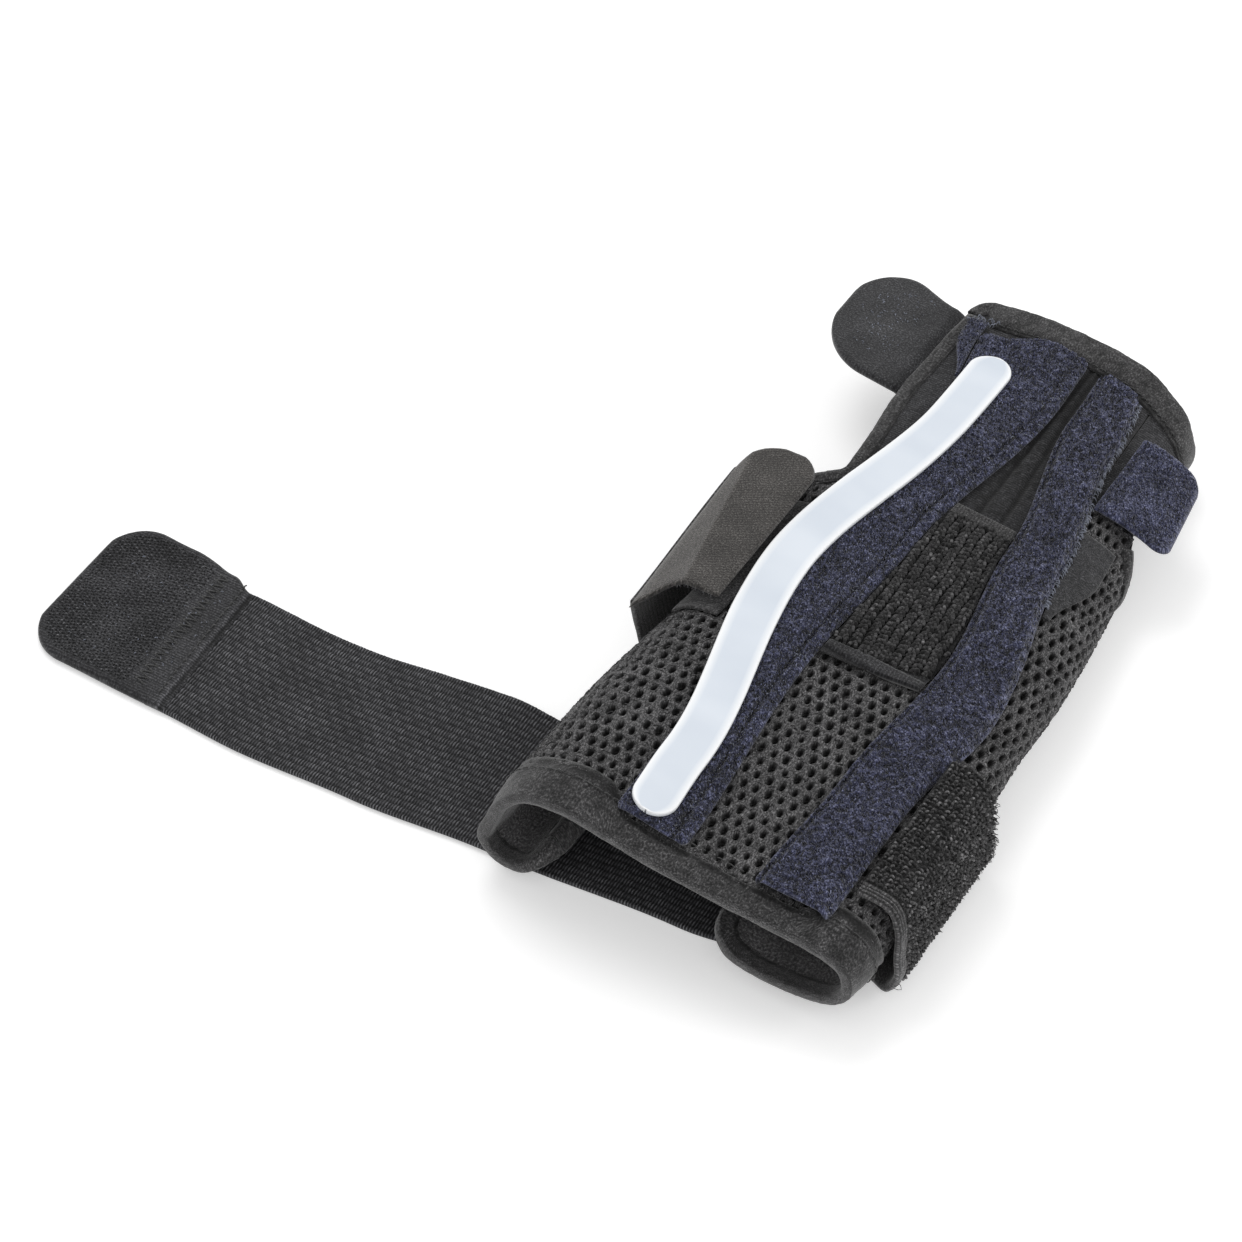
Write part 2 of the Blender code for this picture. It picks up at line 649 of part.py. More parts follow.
def main():
    for old in list(bpy.data.objects):
        bpy.data.objects.remove(old)
    bpy.context.scene.collection.children.link(PARTS)
    make_laminate()
    make_patches()
    make_pockets_and_stays()
    make_bindings()
    make_forearm_strap()
    make_wrist_strap()
    make_hand_strap()


main()
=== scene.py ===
"""Looks for the wrist splint: knitted, woven and plush cloth, threads and stays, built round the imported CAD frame.

Lengths are millimetres in the brace's own frame, as in the CAD: x across the forearm with the thumb side negative,
y towards the fingers, z up. Places on the sleeve are t and y, where t is the distance round it from the middle of its
back, and h is the height above its outer face. World coordinates are metres.
"""

import math

import bmesh
import bpy
import numpy as np
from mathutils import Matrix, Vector


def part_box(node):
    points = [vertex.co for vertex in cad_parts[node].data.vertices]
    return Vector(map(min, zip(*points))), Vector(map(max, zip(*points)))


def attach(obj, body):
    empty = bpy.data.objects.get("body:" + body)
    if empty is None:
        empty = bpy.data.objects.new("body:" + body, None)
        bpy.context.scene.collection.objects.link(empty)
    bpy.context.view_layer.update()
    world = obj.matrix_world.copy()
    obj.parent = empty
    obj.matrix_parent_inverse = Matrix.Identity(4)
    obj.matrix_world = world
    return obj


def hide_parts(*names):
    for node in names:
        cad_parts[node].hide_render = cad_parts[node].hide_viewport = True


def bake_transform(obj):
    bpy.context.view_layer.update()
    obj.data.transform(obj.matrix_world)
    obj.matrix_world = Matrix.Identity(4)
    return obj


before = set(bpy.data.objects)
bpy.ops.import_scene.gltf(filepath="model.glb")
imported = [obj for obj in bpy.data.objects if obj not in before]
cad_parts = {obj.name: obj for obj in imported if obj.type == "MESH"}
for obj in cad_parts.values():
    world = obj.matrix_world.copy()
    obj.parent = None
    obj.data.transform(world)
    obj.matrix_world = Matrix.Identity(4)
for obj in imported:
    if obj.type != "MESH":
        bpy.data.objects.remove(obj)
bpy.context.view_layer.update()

MM = 0.001
FOREARM_END = -111.0
STRAP_TIP = -193.0
ORIGIN = np.array(
    [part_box("forearm_hook_tab")[0].x / MM - STRAP_TIP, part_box("binding_forearm")[0].y / MM - FOREARM_END, 0.0]
)

# ---------------------------------------------------------------- the sleeve's surface, as in the CAD

FOREARM_SECTION = [
    *[(-31, 8), (-39, 3.5), (-47, 3.8), (-51.8, 10), (-50, 18), (-46, 26), (-39, 33), (-28, 35), (-14, 33)],
    *[(0, 30.5), (14, 29), (28, 27.5), (41, 26.5), (50, 22), (51.5, 14), (47, 7.6), (38, 5), (24, 5), (11, 9)],
]
WRIST_SECTION = [
    *[(-25, 4.5), (-33, 1.7), (-40, 3), (-44, 9), (-44, 17), (-41, 25), (-34, 31), (-24, 32.5), (-12, 31.5)],
    *[(0, 30), (14, 28.5), (28, 26.5), (40.5, 24.5), (49, 19.5), (50.5, 12), (46.5, 5), (37.5, 2), (24, 2), (11, 6)],
]
HAND_SECTION = [
    *[(-22, 4), (-30, 1.7), (-37, 2.5), (-41.5, 8.5), (-42, 16), (-39, 22.5), (-32, 27.5), (-22, 29), (-11, 28)],
    *[(0, 27), (12.5, 25.5), (24.5, 23.5), (33, 20.5), (37.5, 15.5), (38.2, 9.5), (35, 4), (28, 1.8), (18, 2), (6, 6)],
]
MIDDLE_POINT = 9
SECTIONS = [np.array(section, float) for section in (FOREARM_SECTION, WRIST_SECTION, HAND_SECTION)]
CHORDS = np.linalg.norm(np.diff(SECTIONS[0], axis=0), axis=1)
KNOTS = np.concatenate([[0], np.cumsum(CHORDS)]) - CHORDS[:MIDDLE_POINT].sum()
MESH_THICKNESS = 2.6
LINING_TOP = -2.9
LINING_BOTTOM = -4.4
LAMINATE_MIDDLE = -2.2
LAMINATE_FOOT = FOREARM_END + 1.4
LAMINATE_HEAD = 112.6
POCKET_HEAD = 104.0
POCKET_FOOT = -103.4
HAND_PANEL_START = 34.0
NOTCH_START = 57.0
LEFT_POCKET_SEAM = -12.0
RIGHT_POCKET_SEAM = 31.0
# How far round the sleeve reaches at its forearm end and at its hand end, to its left and right sides
FOREARM_LEFT = -90.0
FOREARM_RIGHT = 104.0
HAND_LEFT = -37.0
HAND_RIGHT = 84.0


def stacked(*parts):
    return np.stack(np.broadcast_arrays(*parts), axis=-1)


def smooth(share):
    share = np.clip(share, 0, 1)
    return share * share * (3 - 2 * share)


def ease(value, start, end, before, after):
    """Goes smoothly from before to after while value goes from start to end."""
    return before + (after - before) * smooth((value - start) / (end - start))


def through(points, value):
    """Reads a smooth line through (position, height) points."""
    height = np.full(np.shape(value), float(points[0][1]))
    for (start, before), (end, after) in zip(points, points[1:]):
        height = np.where(value > start, ease(value, start, end, before, after), height)
    return height


RANDOM_HEIGHTS = np.random.default_rng(7).uniform(-1, 1, (256, 256))


def noise(u, v, scale):
    """Smooth random heights from -1 to 1, whose bumps are about scale across."""
    u, v = np.broadcast_arrays(np.asarray(u, float) / scale + 41.3, np.asarray(v, float) / scale + 17.9)
    i, j = np.floor(u).astype(int), np.floor(v).astype(int)
    a, b = smooth(u - i), smooth(v - j)
    rows = [
        RANDOM_HEIGHTS[i % 256, (j + step) % 256] * (1 - a) + RANDOM_HEIGHTS[(i + 1) % 256, (j + step) % 256] * a
        for step in (0, 1)
    ]
    return rows[0] * (1 - b) + rows[1] * b


def section_points(i, y):
    forearm, wrist, hand = (section[i] for section in SECTIONS)
    to_wrist, to_hand = ease(y, -80, -10, 0, 1)[..., None], ease(y, -10, 114, 0, 1)[..., None]
    return forearm + (wrist - forearm) * to_wrist + (hand - wrist) * to_hand


def creases(t, y):
    """How far the soft sleeve stands from its even shape: shallow folds along it, flat where the pockets hold it."""
    along = noise(t, y * 0.35, 9) * 0.45 + noise(t, y, 23) * 0.35
    return along * ease(np.abs(y), 104, 112, 1, 0.3)


def skin(t, y, h):
    """The point h above the sleeve's outer face at (t, y)."""
    t, y, h = np.broadcast_arrays(np.asarray(t, float), np.asarray(y, float), np.asarray(h, float))
    last = len(KNOTS) - 2
    i = np.clip(np.searchsorted(KNOTS, t, side="right") - 1, 0, last)
    indices = [np.maximum(i - 1, 0), i, i + 1, np.minimum(i + 2, last + 1)]
    k0, k1, k2, k3 = (KNOTS[j][..., None] for j in indices)
    a, b, c, d = (section_points(j, y) for j in indices)
    span = k2 - k1
    s = (t[..., None] - k1) / span
    leave = (c - a) / (k2 - k0) * span
    arrive = (d - b) / (k3 - k1) * span
    bend = 3 * (c - b) - 2 * leave - arrive
    turn = 2 * (b - c) + leave + arrive
    point = b + s * (leave + s * (bend + s * turn))
    way = leave + s * (2 * bend + 3 * s * turn)
    way = way / np.linalg.norm(way, axis=-1, keepdims=True)
    rise = h + creases(t, y)
    return stacked(point[..., 0] - rise * way[..., 1], y, point[..., 1] + rise * way[..., 0])


def squeezed(t, y, h):
    """The height of the laminate's layers near its bound ends, where they are pressed thinner."""
    share = 1 - 0.5 * ease(y, FOREARM_END, FOREARM_END + 13, 1, 0) - 0.2 * ease(hand_edge(t) - y, 0, 10, 1, 0)
    return LAMINATE_MIDDLE + (h - LAMINATE_MIDDLE) * share


def left_edge(y):
    return ease(y, 4, 30, FOREARM_LEFT, -32.5) - ease(y, 30, 70.5, 0, 4.5)


def right_edge(y):
    notch_t, notch_y = 50, 62
    before, after = ease(y, 18, NOTCH_START, FOREARM_RIGHT, notch_t), ease(y, notch_y, 84, notch_t, HAND_RIGHT)
    return np.where(y < notch_y, before, after)


def corner(distance, radius):
    """How far a rounded corner's outline is drawn in at a distance from the side edge."""
    inside = np.clip(radius - distance, 0, radius)
    return radius - np.sqrt(radius * radius - inside * inside)


def hand_edge(t):
    drop = ease(t, -38, -8, 3, 0) + ease(t, 12, 60, 0, 11)
    return LAMINATE_HEAD - drop - corner(t - HAND_LEFT, 6) - corner(HAND_RIGHT - t, 8)


def foot_edge(t):
    return LAMINATE_FOOT + corner(t - FOREARM_LEFT, 9) + corner(FOREARM_RIGHT - t, 9)


def left_pocket_edges(y):
    left = through([(-104, -17), (-62, -18), (-8, -28), (60, -22), (98, -28)], y)
    right = through([(-104, 2.5), (-35, -2), (15, 0.5), (80, 8.5), (104, 7.5)], y)
    return left, right


def right_pocket_edges(y):
    left = through([(-104, 20.5), (-62, 22.5), (-18, 25.5), (30, 20.5), (80, 13), (104, 12)], y)
    right = through([(-104, 40.5), (-66, 40.5), (-28, 44.5), (30, 36.5), (76, 30), (104, 26.5)], y)
    return left, right


def between_pockets(y):
    return left_pocket_edges(y)[1] + 0.4, right_pocket_edges(y)[0] - 0.4


def left_stay_line(y):
    return through([(-104, -9.8), (-82, -11), (-8, -25.7), (60, -16.1), (95, -16.4)], y)


# ---------------------------------------------------------------- materials


def add(tree, kind, inputs=None, **settings):
    node = tree.nodes.new("ShaderNode" + kind)
    for key, value in settings.items():
        setattr(node, key, value)
    for key, value in (inputs or {}).items():
        if isinstance(value, bpy.types.NodeSocket):
            tree.links.new(value, node.inputs[key])
        else:
            node.inputs[key].default_value = value
    return node


def ramp(tree, factor, stops):
    """Turns a factor into a colour through (position, colour) stops."""
    node = add(tree, "ValToRGB", {"Fac": factor})
    elements = node.color_ramp.elements
    while len(elements) < len(stops):
        elements.new(0.5)
    for element, (position, color) in zip(elements, stops):
        element.position = position
        element.color = (*color, 1)
    return node.outputs["Color"]


def times(tree, a, b):
    mixed = add(tree, "Mix", {0: 1.0, 6: a, 7: b}, data_type="RGBA", blend_type="MULTIPLY")
    return mixed.outputs[2]


def grey(value):
    return (value, value, value)


def fabric(name, stops, grain, stretch=(1, 1), bump=0.5, depth=0.25, roughness=0.9, sheen=0.25, threads=None):
    """Cloth whose colour and bumpiness vary with its fibres; its colour is also scaled by each point's tone and
    painted light.

    stops are colours from the deepest fibre to the palest, grain is the fibres' spacing in millimetres and stretch
    draws them out along the cloth's two directions. threads is (spacing, turn, share), fine raised lines.
    """
    made = bpy.data.materials.new(name)
    made.use_nodes = True
    tree = made.node_tree
    shader = tree.nodes["Principled BSDF"]
    cloth = add(tree, "UVMap", uv_map="cloth").outputs[0]
    drawn = add(tree, "Mapping", {"Vector": cloth, "Scale": (stretch[0], stretch[1], 1)}).outputs[0]
    fibres = add(tree, "TexNoise", {"Vector": drawn, "Scale": 1 / grain, "Detail": 3, "Roughness": 0.65})
    fine = fibres.outputs[0]
    if threads:
        spacing, turn, share = threads
        lines = add(tree, "Mapping", {"Vector": cloth, "Rotation": (0, 0, math.radians(turn))}).outputs[0]
        wave = add(tree, "TexWave", {"Vector": lines, "Scale": 0.314 / spacing, "Distortion": 0.6, "Detail": 1})
        fine = add(tree, "Mix", {0: share, 2: fine, 3: wave.outputs[1]}, data_type="FLOAT").outputs[0]
    color = ramp(tree, fine, stops)
    broad = add(tree, "TexNoise", {"Vector": cloth, "Scale": 0.09, "Detail": 3})
    color = times(tree, color, ramp(tree, broad.outputs[0], [(0.3, grey(0.78)), (0.7, grey(1.18))]))
    # The tone_and_painted_light attribute scales the colour: random fibre tones together with painted shade in
    # grooves, holes and creases and painted highlights on raised tops and rims.
    tone_and_painted_light = add(tree, "Attribute", attribute_name="tone_and_painted_light").outputs["Fac"]
    color = times(tree, color, ramp(tree, tone_and_painted_light, [(0, grey(0.12)), (0.5, grey(0.8)), (1, grey(1.6))]))
    tree.links.new(color, shader.inputs["Base Color"])
    raised = add(tree, "Bump", {"Height": fine, "Strength": bump, "Distance": depth * MM})
    tree.links.new(raised.outputs[0], shader.inputs["Normal"])
    rough = add(tree, "MapRange", {0: fine, 3: max(roughness - 0.12, 0), 4: min(roughness + 0.08, 1)})
    tree.links.new(rough.outputs[0], shader.inputs["Roughness"])
    shader.inputs["Sheen Weight"].default_value = sheen
    shader.inputs["Sheen Roughness"].default_value = 0.45
    shader.inputs["Specular IOR Level"].default_value = 0.25
    return made


def plastic(name, color, painted_light, roughness):
    """Satin plastic with broad paler patches of painted sheen, fine scuffs, and a near-white painted highlight on its
    rim.
    """
    made = bpy.data.materials.new(name)
    made.use_nodes = True
    tree = made.node_tree
    shader = tree.nodes["Principled BSDF"]
    place = add(tree, "UVMap", uv_map="cloth").outputs[0]
    # Broad noise mixes in a paler colour in patches: painted sheen variation.
    broad = add(tree, "TexNoise", {"Vector": place, "Scale": 0.05, "Detail": 2}).outputs[0]
    face = ramp(tree, broad, [(0.35, color), (0.7, painted_light)])
    # Near white where the rim is marked: a painted highlight.
    rim = add(tree, "Attribute", attribute_name="tone_and_painted_light").outputs["Fac"]
    mixed = add(tree, "Mix", {0: rim, 6: face, 7: (0.95, 0.965, 0.98, 1)}, data_type="RGBA")
    tree.links.new(mixed.outputs[2], shader.inputs["Base Color"])
    drawn = add(tree, "Mapping", {"Vector": place, "Scale": (1.2, 0.08, 1)}).outputs[0]
    scuffs = add(tree, "TexNoise", {"Vector": drawn, "Scale": 1.5, "Detail": 5}).outputs[0]
    rough = add(tree, "MapRange", {0: scuffs, 3: roughness - 0.08, 4: roughness + 0.15}).outputs[0]
    tree.links.new(rough, shader.inputs["Roughness"])
    raised = add(tree, "Bump", {"Height": scuffs, "Strength": 0.12, "Distance": 0.05 * MM})
    tree.links.new(raised.outputs[0], shader.inputs["Normal"])
    shader.inputs["Subsurface Weight"].default_value = 0.12
    shader.inputs["Subsurface Radius"].default_value = (0.002, 0.002, 0.002)
    return made


NAVY_STOPS = [(0.35, (0.005, 0.006, 0.016)), (0.5, (0.031, 0.035, 0.075)), (0.65, (0.19, 0.2, 0.3))]
CHARCOAL_STOPS = [(0.32, (0.011, 0.011, 0.0115)), (0.5, (0.05, 0.049, 0.05)), (0.68, (0.19, 0.187, 0.19))]
FUZZ_STOPS = [(0.32, (0.02, 0.0195, 0.02)), (0.5, (0.085, 0.083, 0.085)), (0.68, (0.26, 0.255, 0.26))]
SOOT_STOPS = [(0.32, (0.008, 0.008, 0.009)), (0.5, (0.03, 0.03, 0.033)), (0.68, (0.12, 0.12, 0.127))]
WARM_STOPS = [(0.32, (0.014, 0.0125, 0.012)), (0.5, (0.06, 0.056, 0.053)), (0.68, (0.2, 0.19, 0.18))]
MATERIALS = {
    name: fabric(name, *look, **more)
    for name, look, more in (
        ("plush", (NAVY_STOPS, 0.55), {"bump": 0.9, "depth": 0.5, "roughness": 0.95, "sheen": 0.35}),
        ("spacer", (CHARCOAL_STOPS, 0.35, (1, 0.45)), {"bump": 0.7, "roughness": 0.85, "sheen": 0.15}),
        ("knit", (SOOT_STOPS, 0.45, (1, 0.7)), {"bump": 0.7, "sheen": 0.3, "threads": (0.8, 90, 0.12)}),
        ("brushed", (CHARCOAL_STOPS, 0.5), {"bump": 0.6, "depth": 0.3, "roughness": 0.95, "sheen": 0.35}),
        ("napped", (SOOT_STOPS, 0.5), {"bump": 0.7, "depth": 0.3, "roughness": 0.95, "sheen": 0.4}),
        ("lining", (FUZZ_STOPS, 0.7), {"bump": 0.8, "depth": 0.4, "roughness": 0.98, "sheen": 0.3}),
        ("woven", (SOOT_STOPS, 0.3, (0.8, 1)), {"bump": 0.6, "depth": 0.2, "sheen": 0.12, "threads": (0.8, 0, 0.35)}),
        ("ribbed", (CHARCOAL_STOPS, 0.4, (1, 0.6)), {"bump": 0.7, "sheen": 0.1}),
        ("hooks", (SOOT_STOPS, 0.3),
         {"bump": 0.6, "depth": 0.2, "roughness": 0.6, "sheen": 0.1, "threads": (1.05, 118, 0.5)}),
        ("wrist", (WARM_STOPS, 0.4), {"bump": 0.6, "roughness": 0.95, "sheen": 0.3, "threads": (0.9, 60, 0.06)}),
        ("thread", ([(0.3, grey(0.02)), (0.7, grey(0.09))], 0.4), {"roughness": 0.7}),
        ("pale_thread", ([(0.3, (0.12, 0.13, 0.17)), (0.7, (0.4, 0.43, 0.52))], 0.4), {"roughness": 0.7}),
    )
}
MATERIALS["stay"] = plastic("stay", (0.67, 0.725, 0.8), (0.76, 0.81, 0.875), 0.33)

# ---------------------------------------------------------------- meshes


def make(name, material, points, faces, uv, tone_and_painted_light=0.5):
    """A smooth-shaded object from points in the brace's frame and lists of faces."""
    mesh = bpy.data.meshes.new(name)
    corners = np.concatenate([group.ravel() for group in faces])
    counts = np.concatenate([np.full(len(group), group.shape[1]) for group in faces])
    mesh.vertices.add(len(points))
    mesh.vertices.foreach_set("co", ((points + ORIGIN) * MM).astype(np.float32).ravel())
    mesh.loops.add(len(corners))
    mesh.loops.foreach_set("vertex_index", corners.astype(np.int32))
    mesh.polygons.add(len(counts))
    mesh.polygons.foreach_set("loop_start", np.concatenate([[0], np.cumsum(counts)[:-1]]).astype(np.int32))
    mesh.update(calc_edges=True)
    layer = mesh.uv_layers.new(name="cloth")
    layer.data.foreach_set("uv", uv[corners].astype(np.float32).ravel())
    # Each point's colour factor: random tone together with painted shade and highlights.
    heights = mesh.attributes.new("tone_and_painted_light", "FLOAT", "POINT")
    heights.data.foreach_set("value", np.broadcast_to(tone_and_painted_light, len(points)).astype(np.float32))
    mesh.materials.append(MATERIALS[material])
    mesh.validate()
    mesh.shade_smooth()
    made = bpy.data.objects.new(name, mesh)
    bpy.context.scene.collection.objects.link(made)
    return made


def quads_of(index):
    return np.stack([index[:-1, :-1], index[1:, :-1], index[1:, 1:], index[:-1, 1:]], axis=-1).reshape(-1, 4)


def volume(points, quads):
    a, b, c, d = (points[quads[:, i]] for i in range(4))
    return float((a * np.cross(b, c)).sum() + (a * np.cross(c, d)).sum())


def slab(name, material, top, bottom, uv, tone_and_painted_light=0.5):
    """A closed sheet between two grids of points."""
    rows, columns = top.shape[:2]
    count = rows * columns
    index = np.arange(count).reshape(rows, columns)
    points = np.concatenate([top.reshape(-1, 3), bottom.reshape(-1, 3)])
    upper = quads_of(index)
    edge = np.concatenate([index[:-1, 0], index[-1, :-1], index[:0:-1, -1], index[0, :0:-1]])
    after = np.roll(edge, -1)
    rim = np.stack([after, edge, edge + count, after + count], axis=-1)
    quads = np.concatenate([upper, upper[:, ::-1] + count, rim])
    if volume(points, quads) < 0:
        quads = quads[:, ::-1]
    tone_and_painted_light = np.broadcast_to(tone_and_painted_light, (rows, columns)).ravel()
    both = np.concatenate([tone_and_painted_light, np.full(count, 0.5)])
    return make(name, material, points, [quads], np.tile(uv.reshape(-1, 2), (2, 1)), both)


EDGE_ROWS = np.array([0, 0.1, 0.3, 0.65])


def rows(start, end, step):
    """Positions about a step apart, and closer at both ends, where cloth is rounded."""
    inner = np.linspace(start + 1.1, end - 1.1, max(2, round((end - start - 2.2) / step) + 1))
    return np.concatenate([start + EDGE_ROWS, inner, end - EDGE_ROWS[::-1]])


def rounding(distance, width):
    """The share of its thickness that cloth has at a distance from its rounded edge."""
    share = np.clip(distance / width, 0, 1)
    return 0.12 + 0.88 * np.sqrt(1 - (1 - share) ** 2)


def sewn(name, material, slot, node, edges, along, heights, texture, step=0.8, width=0.8, ends=None, press=None):
    """Cloth on the sleeve between two edges that vary along it, rounded at its borders, in place of a CAD node.

    along and heights are its ranges along the sleeve and above it. texture(t, y) gives its extra height and the shade
    of its colour, random tone and, for some textures, painted shade, ends(t, y) may move y and press(t, y, h) changes
    its height. The colour is darkened towards the rounded borders: painted shade.
    """
    (foot, head), (low, high) = along, heights
    ys = rows(foot, head, step)
    lefts, rights = edges(ys)
    widest = float(np.max(rights - lefts))
    share, y = np.meshgrid(rows(0, widest, step) / widest, ys, indexing="ij")
    left, right = edges(y)
    t = left + (right - left) * share
    if ends:
        y = ends(t, y)
    away = np.minimum(np.minimum(share, 1 - share) * (right - left), np.minimum(y - foot, head - y))
    full = rounding(away, width)
    middle, half = (low + high) / 2, (high - low) / 2
    extra, shade = texture(t, y)
    press = press or (lambda t, y, h: h)
    top = skin(t, y, press(t, y, middle + (half + extra) * full))
    bottom = skin(t, y, press(t, y, middle - half * full))
    # Darker towards the rounded borders: painted shade.
    made = slab(name, material, top, bottom, stacked(t, y), shade * (0.4 + 0.6 * full))
    return belongs(made, slot, "sleeve", stands_for=[node] if node else ())


def nap(tone, scale=0.7):
    """A texture for sewn: fine uneven nap of a mean tone."""
    return lambda t, y: (noise(t, y, 0.9) * 0.12, tone + noise(t, y, scale) * 0.3)


def tubes(name, material, lines, up, shade, radius, sides):
    """Closed thin tubes along lines, an array of (line, point, xyz). up is a direction across each line."""
    count, length = lines.shape[:2]
    way = np.gradient(lines, axis=1)
    way /= np.linalg.norm(way, axis=-1, keepdims=True) + 1e-9
    side = np.cross(way, up[:, None, :])
    side /= np.linalg.norm(side, axis=-1, keepdims=True) + 1e-9
    over = np.cross(side, way)
    angles = np.linspace(0, 2 * math.pi, sides, endpoint=False)
    ring = np.cos(angles)[:, None] * side[:, :, None, :] + np.sin(angles)[:, None] * over[:, :, None, :]
    radius = np.broadcast_to(np.asarray(radius, float).reshape(-1, 1, 1, 1), (count, length, 1, 1))
    points = (lines[:, :, None, :] + ring * radius).reshape(-1, 3)
    index = np.arange(count * length * sides).reshape(count, length, sides)
    around = np.roll(index, -1, axis=2)
    quads = np.stack([index[:, :-1], around[:, :-1], around[:, 1:], index[:, 1:]], axis=-1).reshape(-1, 4)
    caps = np.concatenate([index[:, 0, ::-1], index[:, -1]])
    uv = np.repeat(lines.reshape(-1, 3)[:, :2], sides, axis=0)
    return make(name, material, points, [quads, caps], uv, np.repeat(shade, length * sides))


def arches(name, material, place, u, v, du, dv, base, height, shade=0.5, radius=0.15, points=5, sides=3):
    """Threads that rise to a height over base and come down again, each over a step (du, dv) about (u, v)."""
    parts = np.broadcast_arrays(*(np.asarray(part, float) for part in (u, v, du, dv, base, height, shade)))
    u, v, du, dv, base, height, shade = parts
    s = np.linspace(0, 1, points)
    across, along, rise = (
        start[:, None] + size[:, None] * share
        for start, size, share in ((u, du, s - 0.5), (v, dv, s - 0.5), (base, height, np.sin(np.pi * s)))
    )
    up = place(u, v, base + 1.0) - place(u, v, base)
    return tubes(name, material, place(across, along, rise), up, shade, radius, sides)


def mottled(random, mean, spread, count):
    return np.clip(random.normal(mean, spread, count), 0, 1)


def plush_pile(name, place, u, v, base, random, tone=(0.5, 0.42)):
    """Short fibres that lean every way."""
    turn = random.uniform(0, 2 * math.pi, len(u))
    wide = random.uniform(0.4, 0.8, len(u))
    height = random.uniform(0.5, 1.0, len(u))
    shade = mottled(random, *tone, len(u))
    radius = random.uniform(0.12, 0.2, len(u))
    du, dv = np.cos(turn) * wide, np.sin(turn) * wide
    return arches(name, "plush", place, u, v, du, dv, base, height, shade, radius, points=3)


def hidden_hooks(name, node, body, place, x, y, base, random, shade):
    """The hooks on a tab's underside."""
    height = random.uniform(0.7, 1.0, x.size)
    hooks = arches(name, "hooks", place, x, y, 0.5, 0.1, base, height, shade, 0.16, points=4)
    belongs(hooks, "hook", body, stands_for=[node])


def stitches(name, slot, body, place, u, v, du, dv, base, height=0.25, radius=0.17):
    belongs(arches(name, "thread", place, u, v, du, dv, base, height, radius=radius, sides=5), slot, body)


def scattered(edges, foot, head, seed, spacing=0.68):
    """Places about spacing apart between two edges, jittered so that no rows show."""
    random = np.random.default_rng(seed)
    ys = np.arange(foot, head, spacing)
    lefts, rights = edges(ys)
    ts = np.arange(float(lefts.min()), float(rights.max()), spacing)
    t, y = np.meshgrid(ts, ys, indexing="ij")
    t = t + random.uniform(-0.5, 0.5, t.shape) * spacing
    y = y + random.uniform(-0.5, 0.5, t.shape) * spacing
    left, right = edges(y)
    kept = (t > left) & (t < right) & (y > foot) & (y < head)
    return t[kept], y[kept], random


def place_in(points):
    """A point of the brace's frame as a world point."""
    return tuple((np.array(points, float) + ORIGIN) * MM)


def belongs(piece, slot, body=None, bend=None, stands_for=()):
    """Parents a piece to the body it rides on, or only bakes its transform when a bend is given, and hides the CAD
    nodes it replaces. The slot is not used.
    """
    if bend:
        one, other, start, end = bend
        place_in(start)
        place_in(end)
        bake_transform(piece)
    else:
        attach(piece, body)
    if stands_for:
        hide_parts(*stands_for)
    return piece


# ---------------------------------------------------------------- lining, spacer mesh and knit

HOLE_PITCH = 3.4
ROW_PITCH = 3.85
HOLE_HALF = (0.77, 1.4)


def weld(piece, distance):
    """Joins a mesh's points that lie together."""
    bm = bmesh.new()
    bm.from_mesh(piece.data)
    bmesh.ops.remove_doubles(bm, verts=bm.verts[:], dist=distance * MM)
    bmesh.ops.dissolve_degenerate(bm, dist=distance * MM, edges=bm.edges[:])
    bmesh.ops.recalc_face_normals(bm, faces=bm.faces[:])
    bm.to_mesh(piece.data)
    bm.free()
    piece.data.shade_smooth()


def sleeve_ends(t, y):
    return np.clip(y, foot_edge(t), hand_edge(t))


